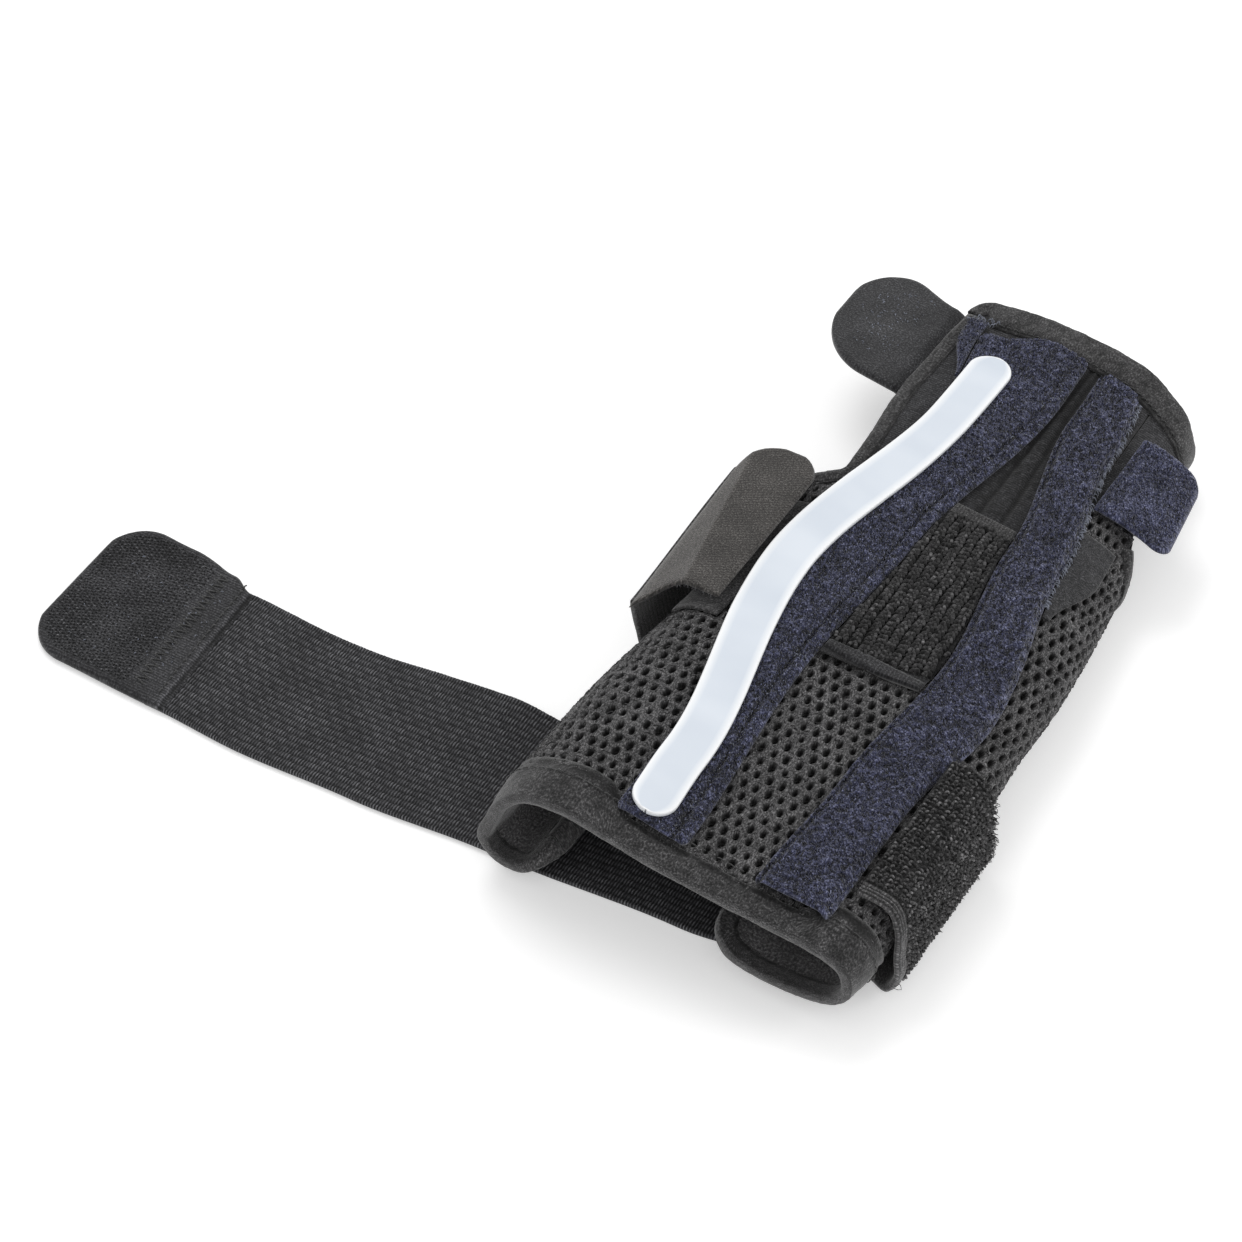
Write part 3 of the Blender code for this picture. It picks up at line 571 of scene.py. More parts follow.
def perforated(name, node, edges, span, head):
    """Spacer mesh: long holes in staggered rows, through a rounded net of yarn with a closed back.

    span is the range of t that the edges lie in.
    """
    columns = np.arange(math.floor(span[0] / HOLE_PITCH), math.ceil(span[1] / HOLE_PITCH) + 1)
    row_numbers = np.arange(0, math.ceil((head - LAMINATE_FOOT) / ROW_PITCH))
    i, j = np.meshgrid(columns, row_numbers, indexing="ij")
    centre_t = (i + np.where(j % 2, 0.5, 0.0)) * HOLE_PITCH
    centre_y = LAMINATE_FOOT + (j + 0.5) * ROW_PITCH
    a, b = HOLE_PITCH / 2, ROW_PITCH / 2
    border = np.array(
        [(a, 0), (a, b), (a / 2, b), (0, b), (-a / 2, b), (-a, b)]
        + [(-a, 0), (-a, -b), (-a / 2, -b), (0, -b), (a / 2, -b), (a, -b)]
    )
    angle = np.arctan2(border[:, 1] / HOLE_HALF[1], border[:, 0] / HOLE_HALF[0])
    hole = np.stack([np.cos(angle) * HOLE_HALF[0], np.sin(angle) * HOLE_HALF[1]], axis=-1)
    # Each ring's outline, height and shade, from the cell's border down through the hole to the closed back. The shade
    # is painted: darker down into the hole, painted shade, and lightest on the raised ridge round it, a painted
    # highlight.
    rings = [
        (border, -0.15, 0.7),
        (border * 0.5 + hole * 0.56, 0.1, 1.0),
        (hole, -0.4, 0.3),
        (hole * 0.9, -1.5, 0.0),
        (hole * 0.9, -MESH_THICKNESS, 0.0),
        (border, -MESH_THICKNESS, 0.5),
    ]
    left, right = edges(centre_y)
    kept = (centre_t > left - a) & (centre_t < right + a)
    centre_t, centre_y = centre_t[kept], centre_y[kept]
    random = np.random.default_rng(len(name))
    wobble = [noise(centre_t, centre_y, size) * 0.2 + random.normal(0, 0.09, centre_t.shape) for size in (5, 7)]
    tight = random.normal(0.95, 0.11, centre_t.shape)[:, None]
    ts, ys = [], []
    for number, (ring, _, _) in enumerate(rings):
        uneven = 0 < number < len(rings) - 1
        t, y = (
            centre[:, None] + (ring[:, k] * tight + wobble[k][:, None] if uneven else ring[:, k])
            for k, centre in enumerate((centre_t, centre_y))
        )
        t = np.clip(t, *edges(y))
        ts.append(t)
        ys.append(sleeve_ends(t, np.clip(y, LAMINATE_FOOT, head)))
    t, y = np.stack(ts, axis=1), np.stack(ys, axis=1)
    h, shade = (np.array([ring[k] for ring in rings])[:, None] + np.zeros(t.shape) for k in (1, 2))
    h = h + np.where(h > -1, noise(t, y, 0.7) * 0.14 + noise(t, y, 4) * 0.2, 0)
    index = np.arange(t.size).reshape(t.shape)
    around = np.roll(index, -1, axis=2)
    quads = np.stack([index[:, :-1], index[:, 1:], around[:, 1:], around[:, :-1]], axis=-1).reshape(-1, 4)
    points = skin(t, y, squeezed(t, y, h)).reshape(-1, 3)
    made = make(name, "spacer", points, [quads], stacked(t, y).reshape(-1, 2), shade.ravel())
    weld(made, 0.02)
    belongs(made, "spacer_mesh", "sleeve", stands_for=[node])

    # Strands of the yarn's fibres along the net's slanting and straight bars
    side = np.array([-1, 1, 0, -1, 1])[:, None]
    level = np.array([0.72, 0.72, 1, -0.72, -0.72])[:, None]
    five = (5, len(centre_t))
    ft = (centre_t + side * a * 0.62 + random.normal(0, 0.22, five)).ravel()
    fy = (centre_y + level * b * 0.78 + random.normal(0, 0.22, five)).ravel()
    turn = np.radians(np.where(level == 1, 0.0, np.sign(level) * -side * 52) + random.normal(0, 14, five)).ravel()
    reach = random.uniform(0.9, 1.7, len(ft))
    low, high = edges(fy)
    kept = (ft > low + 0.5) & (ft < high - 0.5) & (fy > foot_edge(ft) + 1) & (fy < head - 0.6)
    ft, fy, turn, reach = ft[kept], fy[kept], turn[kept], reach[kept]
    base = squeezed(ft, fy, np.full(ft.shape, -0.02))
    height = random.uniform(0.1, 0.32, len(ft))
    shade = mottled(random, 0.62, 0.3, len(ft))
    radius = random.uniform(0.09, 0.16, len(ft))
    du, dv = np.cos(turn) * reach, np.sin(turn) * reach
    strands = arches(name + "_yarn", "spacer", skin, ft, fy, du, dv, base, height, shade, radius, points=4)
    belongs(strands, "spacer_mesh", "sleeve")


def make_laminate():
    inner = ("sleeve_lining", "lining", "lining", "lining", lambda y: (left_edge(y), right_edge(y)))
    along, heights = (LAMINATE_FOOT, LAMINATE_HEAD), (LINING_BOTTOM, LINING_TOP)
    lining = sewn(*inner, along, heights, nap(0.5, scale=1.3), 1.3, 0.6, ends=sleeve_ends, press=squeezed)

    def left(y):
        return left_edge(y), LEFT_POCKET_SEAM + 0 * y

    def middle(y):
        return LEFT_POCKET_SEAM + gap + 0 * y, RIGHT_POCKET_SEAM + 0 * y

    def right(y):
        return RIGHT_POCKET_SEAM + gap + 0 * y, right_edge(y)

    def thumb_to_palm(y):
        return left_edge(y), RIGHT_POCKET_SEAM + 0 * y

    gap = 0.3
    perforated("spacer_mesh_thumb_side", "mesh_left", left, (FOREARM_LEFT, LEFT_POCKET_SEAM), HAND_PANEL_START)
    perforated("spacer_mesh_back", "mesh_middle", middle, (LEFT_POCKET_SEAM, RIGHT_POCKET_SEAM), HAND_PANEL_START)
    perforated("spacer_mesh_finger_side", "mesh_right", right, (RIGHT_POCKET_SEAM, FOREARM_RIGHT), NOTCH_START)

    def knitted(t, y):
        """Knit with two creases that run from the gusset to the fingers between the pockets, darkened with painted
        shade, as is the knit between the strips.
        """
        fold = sum(np.exp(-(((t - ease(y, 36, 100, *line)) / 0.75) ** 2)) for line in ((8, 8.6), (14.5, 11)))
        # Painted shade: the knit between the two raised strips is darkened, and so are the creases.
        painted_shade_between_strips = 0.2 * ease(t, 22, 30, 1, 0) * ease(t, -12, 0, 0, 1)
        tone = np.clip(0.42 - painted_shade_between_strips + noise(t, y, 0.8) * 0.25 - 0.4 * fold, 0, 1)
        return noise(t, y, 1.1) * 0.1 - 0.9 * fold, tone

    for name, node, edges, start in (
        ("hand_knit_panel", "hand_panel", thumb_to_palm, HAND_PANEL_START),
        ("palm_knit_panel", "palm_panel", right, NOTCH_START),
    ):
        along, heights = (start + gap, LAMINATE_HEAD), (-MESH_THICKNESS, 0)
        sewn(name, "knit", "knit", node, edges, along, heights, knitted, ends=sleeve_ends, press=squeezed)


# ---------------------------------------------------------------- gusset and patches

GUSSET_LOW = (-30.0, -25.6)
GUSSET_HIGH = (30.0, 34.5)
GUSSET_TOP = 2.2
GUSSET_RIB_PITCH = 2.75


def lower_hem(t):
    """The gusset's lower end runs a little uphill towards the little finger."""
    return (np.asarray(t) - 12) * 0.15


def make_gusset_loops():
    """The elastic's ribs are chains of thick loops, each two strands that lean together."""
    random = np.random.default_rng(17)
    rib, row = np.meshgrid(np.arange(-2, 12), np.arange(-16, 21), indexing="ij")
    y = row * 1.62 + rib % 2 * 0.8 + random.uniform(-0.12, 0.12, rib.shape)
    t = rib * GUSSET_RIB_PITCH - 0.06 * y - noise(rib * GUSSET_RIB_PITCH, y, 8) * 0.5
    side = np.array([-1, 1])[:, None]
    t, y = (t.ravel() + side * 0.68).ravel(), (y.ravel() + side * 0.2).ravel()
    t = t + random.normal(0, 0.1, t.shape)
    side = np.repeat(side, len(t) // 2)
    left, right = between_pockets(y)
    kept = (t > left + 0.4) & (t < right - 0.4) & (y > GUSSET_LOW[1] + lower_hem(t)) & (y < GUSSET_HIGH[0] + 0.6)
    t, y, side = t[kept], y[kept], side[kept]
    height = random.uniform(0.4, 0.7, t.shape)
    shade = mottled(random, 0.35, 0.2, t.shape)
    place = ("gusset_rib_loops", "ribbed", skin, t, y)
    belongs(arches(*place, -side * 0.55, 1.45, GUSSET_TOP - 0.15, height, shade, 0.46, sides=5), "elastic", "sleeve")


def make_gusset():
    def ribs(t, y):
        lean = t + y * 0.06 + noise(t, y, 8) * 0.5
        rib = np.cos(lean * 2 * math.pi / GUSSET_RIB_PITCH)
        chain = np.sin((y + np.where(rib > 0, 0, 0.4)) * 2 * math.pi / 1.55 + noise(lean, y, 2.2) * 1.6)
        height = 0.42 * rib + 0.22 * chain * (rib > -0.5) + noise(t, y, 0.6) * 0.12
        # The colour follows the ribs' height, darker in the grooves between them: painted shade.
        return height, np.clip(0.04 + height * 0.6, 0, 1)

    def hem_rib(t, y):
        line = np.cos(t * 2 * math.pi / 0.85)
        # The colour follows the fine ribs' height: painted shade between them.
        return 0.1 * line + noise(t, y, 1.2) * 0.08, 0.36 + 0.2 * line

    def slanted(t, y):
        return y + lower_hem(t) * ease(y, 0, -20, 0, 1)

    def uphill(t, y):
        return y + lower_hem(t)

    def patch_edges(y):
        return right_pocket_edges(y)[1] + 0.4, ease(y, 12, 34, 40.6, 47)

    between = (GUSSET_LOW[1], GUSSET_HIGH[0])
    ribbed = ("gusset_ribs", "ribbed", "elastic", "gusset_elastic", between_pockets, between, (0.5, GUSSET_TOP))
    low = ("gusset_hem_folded", "napped", "knit", "gusset_hem_lower", between_pockets, GUSSET_LOW, (0.9, 2.7))
    high = ("gusset_hem_upper_fold", "brushed", "knit", "gusset_hem_upper", between_pockets, GUSSET_HIGH, (0.6, 2.2))
    patch = ("side_knit_patch", "napped", "knit", "side_patch", patch_edges, (12, 46), (0.6, 1.5))
    sewn(*ribbed, ribs, step=0.34, width=0.7, ends=slanted)
    sewn(*low, hem_rib, step=0.3, width=1.0, ends=uphill)
    sewn(*high, hem_rib, step=0.3, width=0.9)
    sewn(*patch, nap(0.35))
    make_gusset_loops()


# ---------------------------------------------------------------- pockets and stays

POCKET_THICKNESS = 1.5


def strip_gap(t):
    """How far the strips stop short of the hand end's edge."""
    return ease(t, -21, -5, 15.0, 9.8) + ease(t, 5, 16, 0, 2.7)


def make_pocket(name, edges, standing, groove, node, seed):
    """A plush pocket strip: sewn down at its sides, standing over the stay, with a stitched channel and its pile.

    groove is the channel's distance from the strip's right edge, or from its left edge where it is negative.
    """

    def rise(t, y):
        left, right = edges(y)
        across = np.abs((t - (left + right) / 2) / ((right - left) / 2))
        return 0.5 + standing * ease(across, 0.72, 0.98, 1, 0)

    def channel(t, y):
        left, right = edges(y)
        away = (right - t) if groove > 0 else (t - left)
        return np.exp(-(((away - abs(groove)) / 0.6) ** 2))

    def ends(t, y):
        left, right = edges(y)
        rounded = corner(np.minimum(t - left, right - t), 2.5)
        head = np.minimum(hand_edge(t) - strip_gap(t), POCKET_HEAD)
        return np.clip(y, POCKET_FOOT + rounded, head - rounded)

    share, y = np.meshgrid(rows(0, 22, 0.5) / 22, rows(POCKET_FOOT, POCKET_HEAD, 0.6), indexing="ij")
    left, right = edges(y)
    t = left + (right - left) * share
    y = ends(t, y)
    away = np.minimum(np.minimum(share, 1 - share) * (right - left), np.minimum(y - POCKET_FOOT, POCKET_HEAD - y))
    full = rounding(away, 1.0)
    bumps = noise(t, y, 0.75) * 0.34 + noise(t, y, 2.4) * 0.07
    under = rise(t, y) + POCKET_THICKNESS / 2 * (1 - full)
    over = rise(t, y) + POCKET_THICKNESS / 2 + (POCKET_THICKNESS / 2 + bumps) * full - channel(t, y) * 1.2
    over = np.maximum(over, under + 0.12)
    # The colour is lighter on the bumps' tops, a painted highlight, and darker in the stitched channel, painted shade.
    shade = np.clip(0.42 + bumps * 1.7 - channel(t, y) * 0.6, 0, 1)
    strip = slab(name, "plush", skin(t, y, over), skin(t, y, under), stacked(t, y), shade)
    belongs(strip, "loop_pile", "sleeve", stands_for=[node])

    def inside(y):
        left, right = edges(y)
        return left + 0.4, right - 0.4

    t, y, random = scattered(inside, POCKET_FOOT + 0.6, POCKET_HEAD - 1, seed)
    kept = y < hand_edge(t) - strip_gap(t) - 0.6
    t, y = t[kept], y[kept]
    base = rise(t, y) + POCKET_THICKNESS - channel(t, y) * 1.1 - 0.3
    belongs(plush_pile(name + "_pile", skin, t, y, base, random), "loop_pile", "sleeve")


def make_thumb_pile():
    """The narrow piece of plush between the hand tab's root and the pocket."""

    def edges(y, inset=0.0):
        right = left_pocket_edges(y)[0] - 0.3
        return right - ease(y, 76, 92, 1.2, 5.6) + inset, right - inset

    def fleecy(t, y):
        bumps = noise(t, y, 0.75) * 0.26
        # The colour is lighter on the bumps' tops: a painted highlight.
        return bumps, np.clip(0.4 + bumps * 1.3, 0, 1)

    sewn("thumb_side_plush", "plush", "loop_pile", None, edges, (76, 100), (1.2, 2.3), fleecy)
    t, y, random = scattered(lambda y: edges(y, 0.4), 76.5, 99.5, 4)
    belongs(plush_pile("thumb_side_plush_pile", skin, t, y, 2.0, random), "loop_pile", "sleeve")


STAY_WIDTH = 11.6
STAY_THICKNESS = 1.4
STAY_LENGTH = 188.5
STAY_FOOT = -102.0
STAY_HEIGHT = 3.1


def make_loose_stay():
    """The flat bar that lies on its pocket: round ends and small bevels along both faces."""
    half, head, bevel = STAY_WIDTH / 2, STAY_FOOT + STAY_LENGTH, 0.45
    ends = half * (1 - np.cos(np.radians(np.linspace(0, 90, 15))))
    ys = np.concatenate([STAY_FOOT + ends, np.linspace(STAY_FOOT + half, head - half, 90)[1:-1], head - ends[::-1]])
    beyond = half - np.minimum(np.minimum(ys - STAY_FOOT, head - ys), half)
    reach = np.sqrt(np.maximum(half * half - beyond * beyond, 0.02))
    line = left_stay_line(ys)
    scale = np.linalg.norm(skin(line + 0.5, ys, 0) - skin(line - 0.5, ys, 0), axis=-1)
    slope = (left_stay_line(ys + 1) - left_stay_line(ys - 1)) / 2 * scale
    bend = np.hypot(1, slope)

    # The section's points: a share of the width, how far in from it, and how far below the face
    turns = np.radians(np.linspace(0, 90, 5))
    rounded = list(zip(bevel * (1 - np.cos(turns)), bevel * (1 - np.sin(turns))))
    profile = [(-1.0, *point) for point in rounded]
    profile += [(share, bevel, 0.0) for share in np.linspace(-1, 1, 7)[1:-1]]
    profile += [(1.0, *point) for point in rounded[::-1]]
    grids = []
    for side in (1, -1):
        columns = []
        for share, inset, drop in profile:
            offset = share * (np.maximum(reach - inset, 0.02) if abs(share) == 1 else reach - inset)
            h = STAY_HEIGHT + STAY_THICKNESS / 2 + side * (STAY_THICKNESS / 2 - drop)
            columns.append(skin(line + offset / bend / scale, ys - offset * slope / bend, h))
        grids.append(np.stack(columns))
    uv = stacked(np.linspace(-6, 6, len(profile))[:, None], ys)
    # The bevels and the round ends are marked here for the plastic's near-white painted highlight on its rim.
    rim = np.array([float(abs(share) == 1) for share, _, _ in profile])[:, None] + np.zeros(ys.shape)
    rim[:, :4] = rim[:, -4:] = 1
    belongs(slab("loose_stay_bar", "stay", *grids, uv, rim), "stay", "loose_stay", stands_for=["stay_left"])


# ---------------------------------------------------------------- bindings

BINDING_WIDTH = 4.2


def make_binding(name, node, path, width, fullness):
    """Soft knit folded round an edge: a rounded welt, fuller at the edge and drawn in where it is stitched.

    width may be a function of t.
    """
    t, y = (np.array([point[k] for point in path], float) for k in (0, 1))
    length = np.concatenate([[0], np.cumsum(np.hypot(np.diff(t), np.diff(y)))])
    at = np.linspace(0, length[-1], max(8, int(length[-1] / 0.9)))
    t, y = np.interp(at, length, t), np.interp(at, length, y)
    width = (width(t) if callable(width) else np.full(t.shape, width))[:, None]
    at = at[:, None]
    dt, dy = np.gradient(t), np.gradient(y)
    across = np.stack([-dy, dt], -1) / np.hypot(dt, dy)[:, None]
    share = np.linspace(0, 1, 37)[None]
    outer, under = 0.45, LINING_BOTTOM - 0.45
    middle, reach = (outer + under) / 2, (outer - under) / 2 + fullness
    angle = np.pi * np.clip((share - 0.3) / 0.4, 0, 1)
    flat = np.abs(np.clip(np.abs(share - 0.5) - 0.2, 0, 0.3)) / 0.3
    welt = 0.25 * np.exp(-(((flat - 0.25) / 0.3) ** 2)) - 0.35 * np.exp(-(((flat - 0.88) / 0.1) ** 2))
    rough = noise(at, share * 40, 1.1) * 0.16 + noise(at, share * 40, 5) * 0.2
    grids = []
    for extra, bulge in ((rough, 0.6 + 0.5 * rough), (-0.75, 0.0)):
        size = reach + welt - fullness * 0.8 * smooth(flat) + extra
        distance = flat * np.where(share < 0.5, width, 4.0) - np.sin(angle) * (fullness * 0.5 + bulge)
        ts, ys = t[:, None] + distance * across[:, :1], y[:, None] + distance * across[:, 1:]
        grids.append(skin(ts, ys, squeezed(ts, ys, middle + np.cos(angle) * size)))
    # The colour is lighter over the rounded roll, a painted highlight, and darker on the flat edges beyond the stitch
    # groove, a painted shadow line; the noise is random tone.
    shade = np.clip(0.38 + 0.25 * np.sin(angle) + noise(at, share * 30, 1.0) * 0.3 - 0.3 * (flat > 0.8), 0, 1)
    made = slab(name, "brushed", *grids, stacked(at, share * 2.2 * width), shade)
    belongs(made, "knit", "sleeve", stands_for=[node])


def make_bindings():
    def forearm_band(t):
        wide = ease(t, -22, -12, 13.0, 6.5) + ease(t, 34, 42, 0, 6.5)
        return np.minimum(wide, ease(np.minimum(t - FOREARM_LEFT, FOREARM_RIGHT - t), 1, 12, BINDING_WIDTH, 13))

    def hand_band(t):
        return ease(np.minimum(t - HAND_LEFT, HAND_RIGHT - t), 1, 9, BINDING_WIDTH, 10)

    turns = np.radians(np.linspace(0, 86, 12))
    foot_steps = np.concatenate([-81 - 9 * np.sin(turns[::-1]), np.arange(-80, 95), 95 + 9 * np.sin(turns)])
    hand_steps = np.concatenate([76 + 8 * np.sin(turns[::-1]), np.arange(75, -31, -1), -31 - 6 * np.sin(turns)])
    foot = [(t, float(foot_edge(t))) for t in foot_steps]
    head = [(t, float(hand_edge(t))) for t in hand_steps]
    make_binding("forearm_end_binding", "binding_forearm", foot, forearm_band, 0.15)
    make_binding("hand_end_binding", "binding_hand_end", head, hand_band, 0.9)
    for name, node, edge, steps in (
        ("thumb_side_binding", "binding_thumb_side", left_edge, np.arange(-101.0, 103.6, 1.0)[::-1]),
        ("finger_side_binding", "binding_right_wing", right_edge, np.arange(-101.0, 54.1, 0.8)),
        ("palm_binding", "binding_palm_wing", right_edge, np.arange(64.0, 93.1, 0.8)),
    ):
        make_binding(name, node, [(float(edge(y)), y) for y in steps], BINDING_WIDTH, 0.3)


# ---------------------------------------------------------------- forearm strap

STRAP_FOLDS = (-58.0, -101.0, -146.0)
STRAP_WIDTH = 46.0
RIB_PITCH = 2.05
HOOK_TAB_MIDDLE = -82.5
HOOK_TAB_HALF = 24.5


def strap_place(x, v, h):
    """The point of the strap at a distance v across it, where its far edge stands off the table by the sleeve."""
    share = v / STRAP_WIDTH
    middle = through([(-150, -85.2), (-122, -86.6), (-90, -85.4), (-50, -82.6), (0, -79.5), (58, -67)], x)
    lift = 3.2 * ease(x, -112, -76, 0, 1) * ease(x, -72, -54, 1, 0) * share**2
    return stacked(x, middle + (share - 0.5) * STRAP_WIDTH, h + lift)


def make_strap_length(name, node, start, end, bend):
    """A length of the woven elastic: ribs along it, each a row of small cross threads."""
    xs = np.linspace(start, end, max(4, int(abs(end - start) / 0.42)))
    x, v = np.meshgrid(xs, rows(0, STRAP_WIDTH, 0.34), indexing="ij")
    rib = np.abs(np.cos((v + noise(x, v, 12) * 0.25 + noise(x, v, 2.5) * 0.12) * math.pi / RIB_PITCH))
    row = np.floor(v / RIB_PITCH + 0.5) % 2
    cross = np.cos(x * 2 * math.pi + row * math.pi + noise(x, v, 2) * 1.3)
    weave = 0.24 * rib + 0.14 * cross * (rib > 0.3) + noise(x, v, 0.5) * 0.07
    full = rounding(np.minimum(v, STRAP_WIDTH - v), 0.7)
    # The colour is lighter on the ribs and darker between them, painted shade in the grooves; the pale cross dashes
    # are the weave's own pattern.
    shade = np.clip(0.2 + rib * 0.5 + 0.38 * cross * (rib > 0.3), 0, 1)
    top = strap_place(x, v, 0.8 + (0.68 + weave) * full)
    bottom = strap_place(x, v, 0.8 - (0.72 - 0.1 * (1 - rib)) * full)
    belongs(slab(name, "woven", top, bottom, stacked(x, v), shade), "elastic", bend=bend, stands_for=[node])


def tab_grid(start, end, near, far, radius, step):
    """x, y and the distance from the border over a tab whose two corners at its end are round."""
    towards = 1 if end > start else -1
    rounded = end - towards * radius * (1 - np.cos(np.radians(np.linspace(90, 0, 12))))
    straight = np.linspace(start, rounded[0], max(3, int(abs(rounded[0] - start) / step)))
    coarse = np.concatenate([straight[:-1], rounded])
    xs = [coarse[0]]
    for before, after in zip(coarse, coarse[1:]):
        xs.extend(np.linspace(before, after, max(2, math.ceil(abs(after - before) / step) + 1))[1:])
    width = far - near
    x, share = np.meshgrid(xs, rows(0, width, step) / width, indexing="ij")
    inset = radius - np.minimum(np.abs(end - x), radius)
    cut = radius - np.sqrt(np.maximum(radius * radius - inset * inset, 0))
    wide = np.maximum(width - 2 * cut, 0.05)
    away = np.minimum(np.minimum(share, 1 - share) * wide, np.abs(end - x))
    return x, near + cut + wide * share, away


def make_forearm_strap():
    """Three lengths of the elastic, cut between its folds, then the hook tab and the anchor band."""
    root, middle, outer = STRAP_FOLDS
    cuts = (46.0, (root + middle) / 2, (middle + outer) / 2, -152.0)
    bodies = ("sleeve", "forearm_strap_inner", "forearm_strap_outer", "forearm_hook_tab")
    for k, (name, node, zone) in enumerate((
        ("strap_under_sleeve", "forearm_strap_under", (-52, -64)),
        ("strap_middle_length", "forearm_strap_inner", (-92, -110)),
        ("strap_outer_length", "forearm_strap_outer", (-141, -148.5)),
    )):
        bend = (bodies[k], bodies[k + 1], *((x, HOOK_TAB_MIDDLE, 1.6) for x in zone))
        make_strap_length(name, node, cuts[k], cuts[k + 1], bend)
    make_hook_tab()
    make_anchor()


def make_hook_tab():
    near, far = HOOK_TAB_MIDDLE - HOOK_TAB_HALF, HOOK_TAB_MIDDLE + HOOK_TAB_HALF

    def seam_x(y):
        """The seam across the strap, a little aslant."""
        return -150.0 - (y - HOOK_TAB_MIDDLE) * 0.075

    def outline(x, y):
        """Draws the tab's even outline out at its far corner and in towards the seam."""
        share = (y - near) / (far - near)
        far_shift = through([(-190, 2.4), (-172, 1.2), (-157, -1.4), (-149, -4.6)], x)
        near_shift = through([(-186, 0), (-149, -1.3)], x)
        slant = 1.4 * ease(x, -184, -165, 1, 0) * share + ease(x, -165, -149, 0, 0.075) * (y - HOOK_TAB_MIDDLE)
        return x - slant, y + share * far_shift + (1 - share) * near_shift

    x, y, away = tab_grid(-148.0, STRAP_TIP + 0.4, near, far, 12.5, 0.6)
    full = rounding(away, 1.2)
    x, y = outline(x, y)
    seam = x - seam_x(y)
    bumps = noise(x, y, 0.9) * 0.1 + noise(x, y, 9) * 0.15
    ridge = np.exp(-((seam / 0.5) ** 2)) * 0.55
    tape = 0.2 * smooth(-(seam + 11) / 0.8)
    thickness = 0.7 + 0.6 * smooth(-seam / 0.8) + ridge + bumps * 0.6 + tape
    # The colour is lighter on the bumps and on the seam's ridge, painted highlight, and darker just past the seam
    # where the cloth steps down, painted shade.
    shade = np.clip(0.5 + bumps + ridge * 0.9 - 0.45 * np.exp(-(((seam - 0.9) / 0.6) ** 2)), 0, 1)
    top, bottom = stacked(x, y, 1.2 + thickness * full), stacked(x, y, 1.1 - 1.05 * full)
    body = slab("hook_tab_cloth", "knit", top, bottom, stacked(x, y), shade)
    belongs(body, "knit", "forearm_hook_tab", stands_for=["forearm_hook_tab", "forearm_strap_seam"])

    # Hooks in slanting rows over the tab's face
    random = np.random.default_rng(5)
    turn = math.radians(27)
    a, b = np.meshgrid(np.arange(-60, 60, 0.85), np.arange(-60, 60, 1.05), indexing="ij")
    x = (-172 + a * math.cos(turn) - b * math.sin(turn)).ravel()
    y = (HOOK_TAB_MIDDLE + a * math.sin(turn) + b * math.cos(turn)).ravel()
    x = x + random.uniform(-0.12, 0.12, x.shape)
    y = y + random.uniform(-0.12, 0.12, x.shape)
    tip_border, side_border, radius = 2.2, 2.0, 11
    inset_x = np.maximum(STRAP_TIP + tip_border + radius - x, 0)
    inset_y = np.maximum(np.abs(y - HOOK_TAB_MIDDLE) - (HOOK_TAB_HALF - side_border - radius), 0)
    kept = (x < seam_x(y) - 11.5) & (np.hypot(inset_x, inset_y) < radius)
    x, y = outline(x[kept], y[kept])
    lean = random.uniform(0.45, 0.65, len(x))
    height = random.uniform(0.4, 0.65, len(x))
    shade = mottled(random, 0.55, 0.2, len(x))
    du, dv = lean * math.cos(turn), lean * math.sin(turn)
    field = arches("hook_tab_hooks", "hooks", stacked, x, y, du, dv, 2.55, height, shade, 0.15, points=4)
    belongs(field, "hook", "forearm_hook_tab", stands_for=["forearm_hook_tape"])

    # A line of stitches beside the seam and a zigzag beyond it
    line, zigzag = (np.arange(near + 3.5, far - 3.5, step) for step in (2.3, 1.15))
    x = np.concatenate([seam_x(line) - 1.7, seam_x(zigzag) - 8.2])
    du = np.concatenate([np.full(len(line), -0.12), np.where(np.arange(len(zigzag)) % 2, 3.4, -3.4)])
    dv = np.repeat([1.6, 1.15], [len(line), len(zigzag)])
    place = (stacked, x, np.concatenate([line, zigzag]), du, dv, 2.45)
    stitches("hook_tab_stitches", "knit", "forearm_hook_tab", *place, height=0.35, radius=0.22)


def banded(points, step):
    """A strap along a smooth curve through (x, z) points.

    Gives its length and a function from the distance s along it, y and the height h outside it to the point there.
    """
    points = np.array(points, float)
    padded = np.concatenate([points[:1], points, points[-1:]])
    spans = []
    for a, b, c, d in zip(padded, padded[1:], padded[2:], padded[3:]):
        s = np.linspace(0, 1, 40, endpoint=False)[:, None]
        spans.append(0.5 * (2 * b + (c - a) * s + (2 * a - 5 * b + 4 * c - d) * s**2 + (3 * b - a - 3 * c + d) * s**3))
    line = np.concatenate([*spans, points[-1:]])
    length = np.concatenate([[0], np.cumsum(np.linalg.norm(np.diff(line, axis=0), axis=1))])
    at = np.linspace(0, length[-1], max(4, int(length[-1] / step)))
    line = np.stack([np.interp(at, length, line[:, k]) for k in (0, 1)], -1)
    way = np.gradient(line, axis=0)
    way /= np.linalg.norm(way, axis=1, keepdims=True)

    def place(s, y, h):
        x, z, dx, dz = (np.interp(s, at, column) for column in (*line.T, *way.T))
        return stacked(x - h * dz, y, z + h * dx)

    return at[-1], place


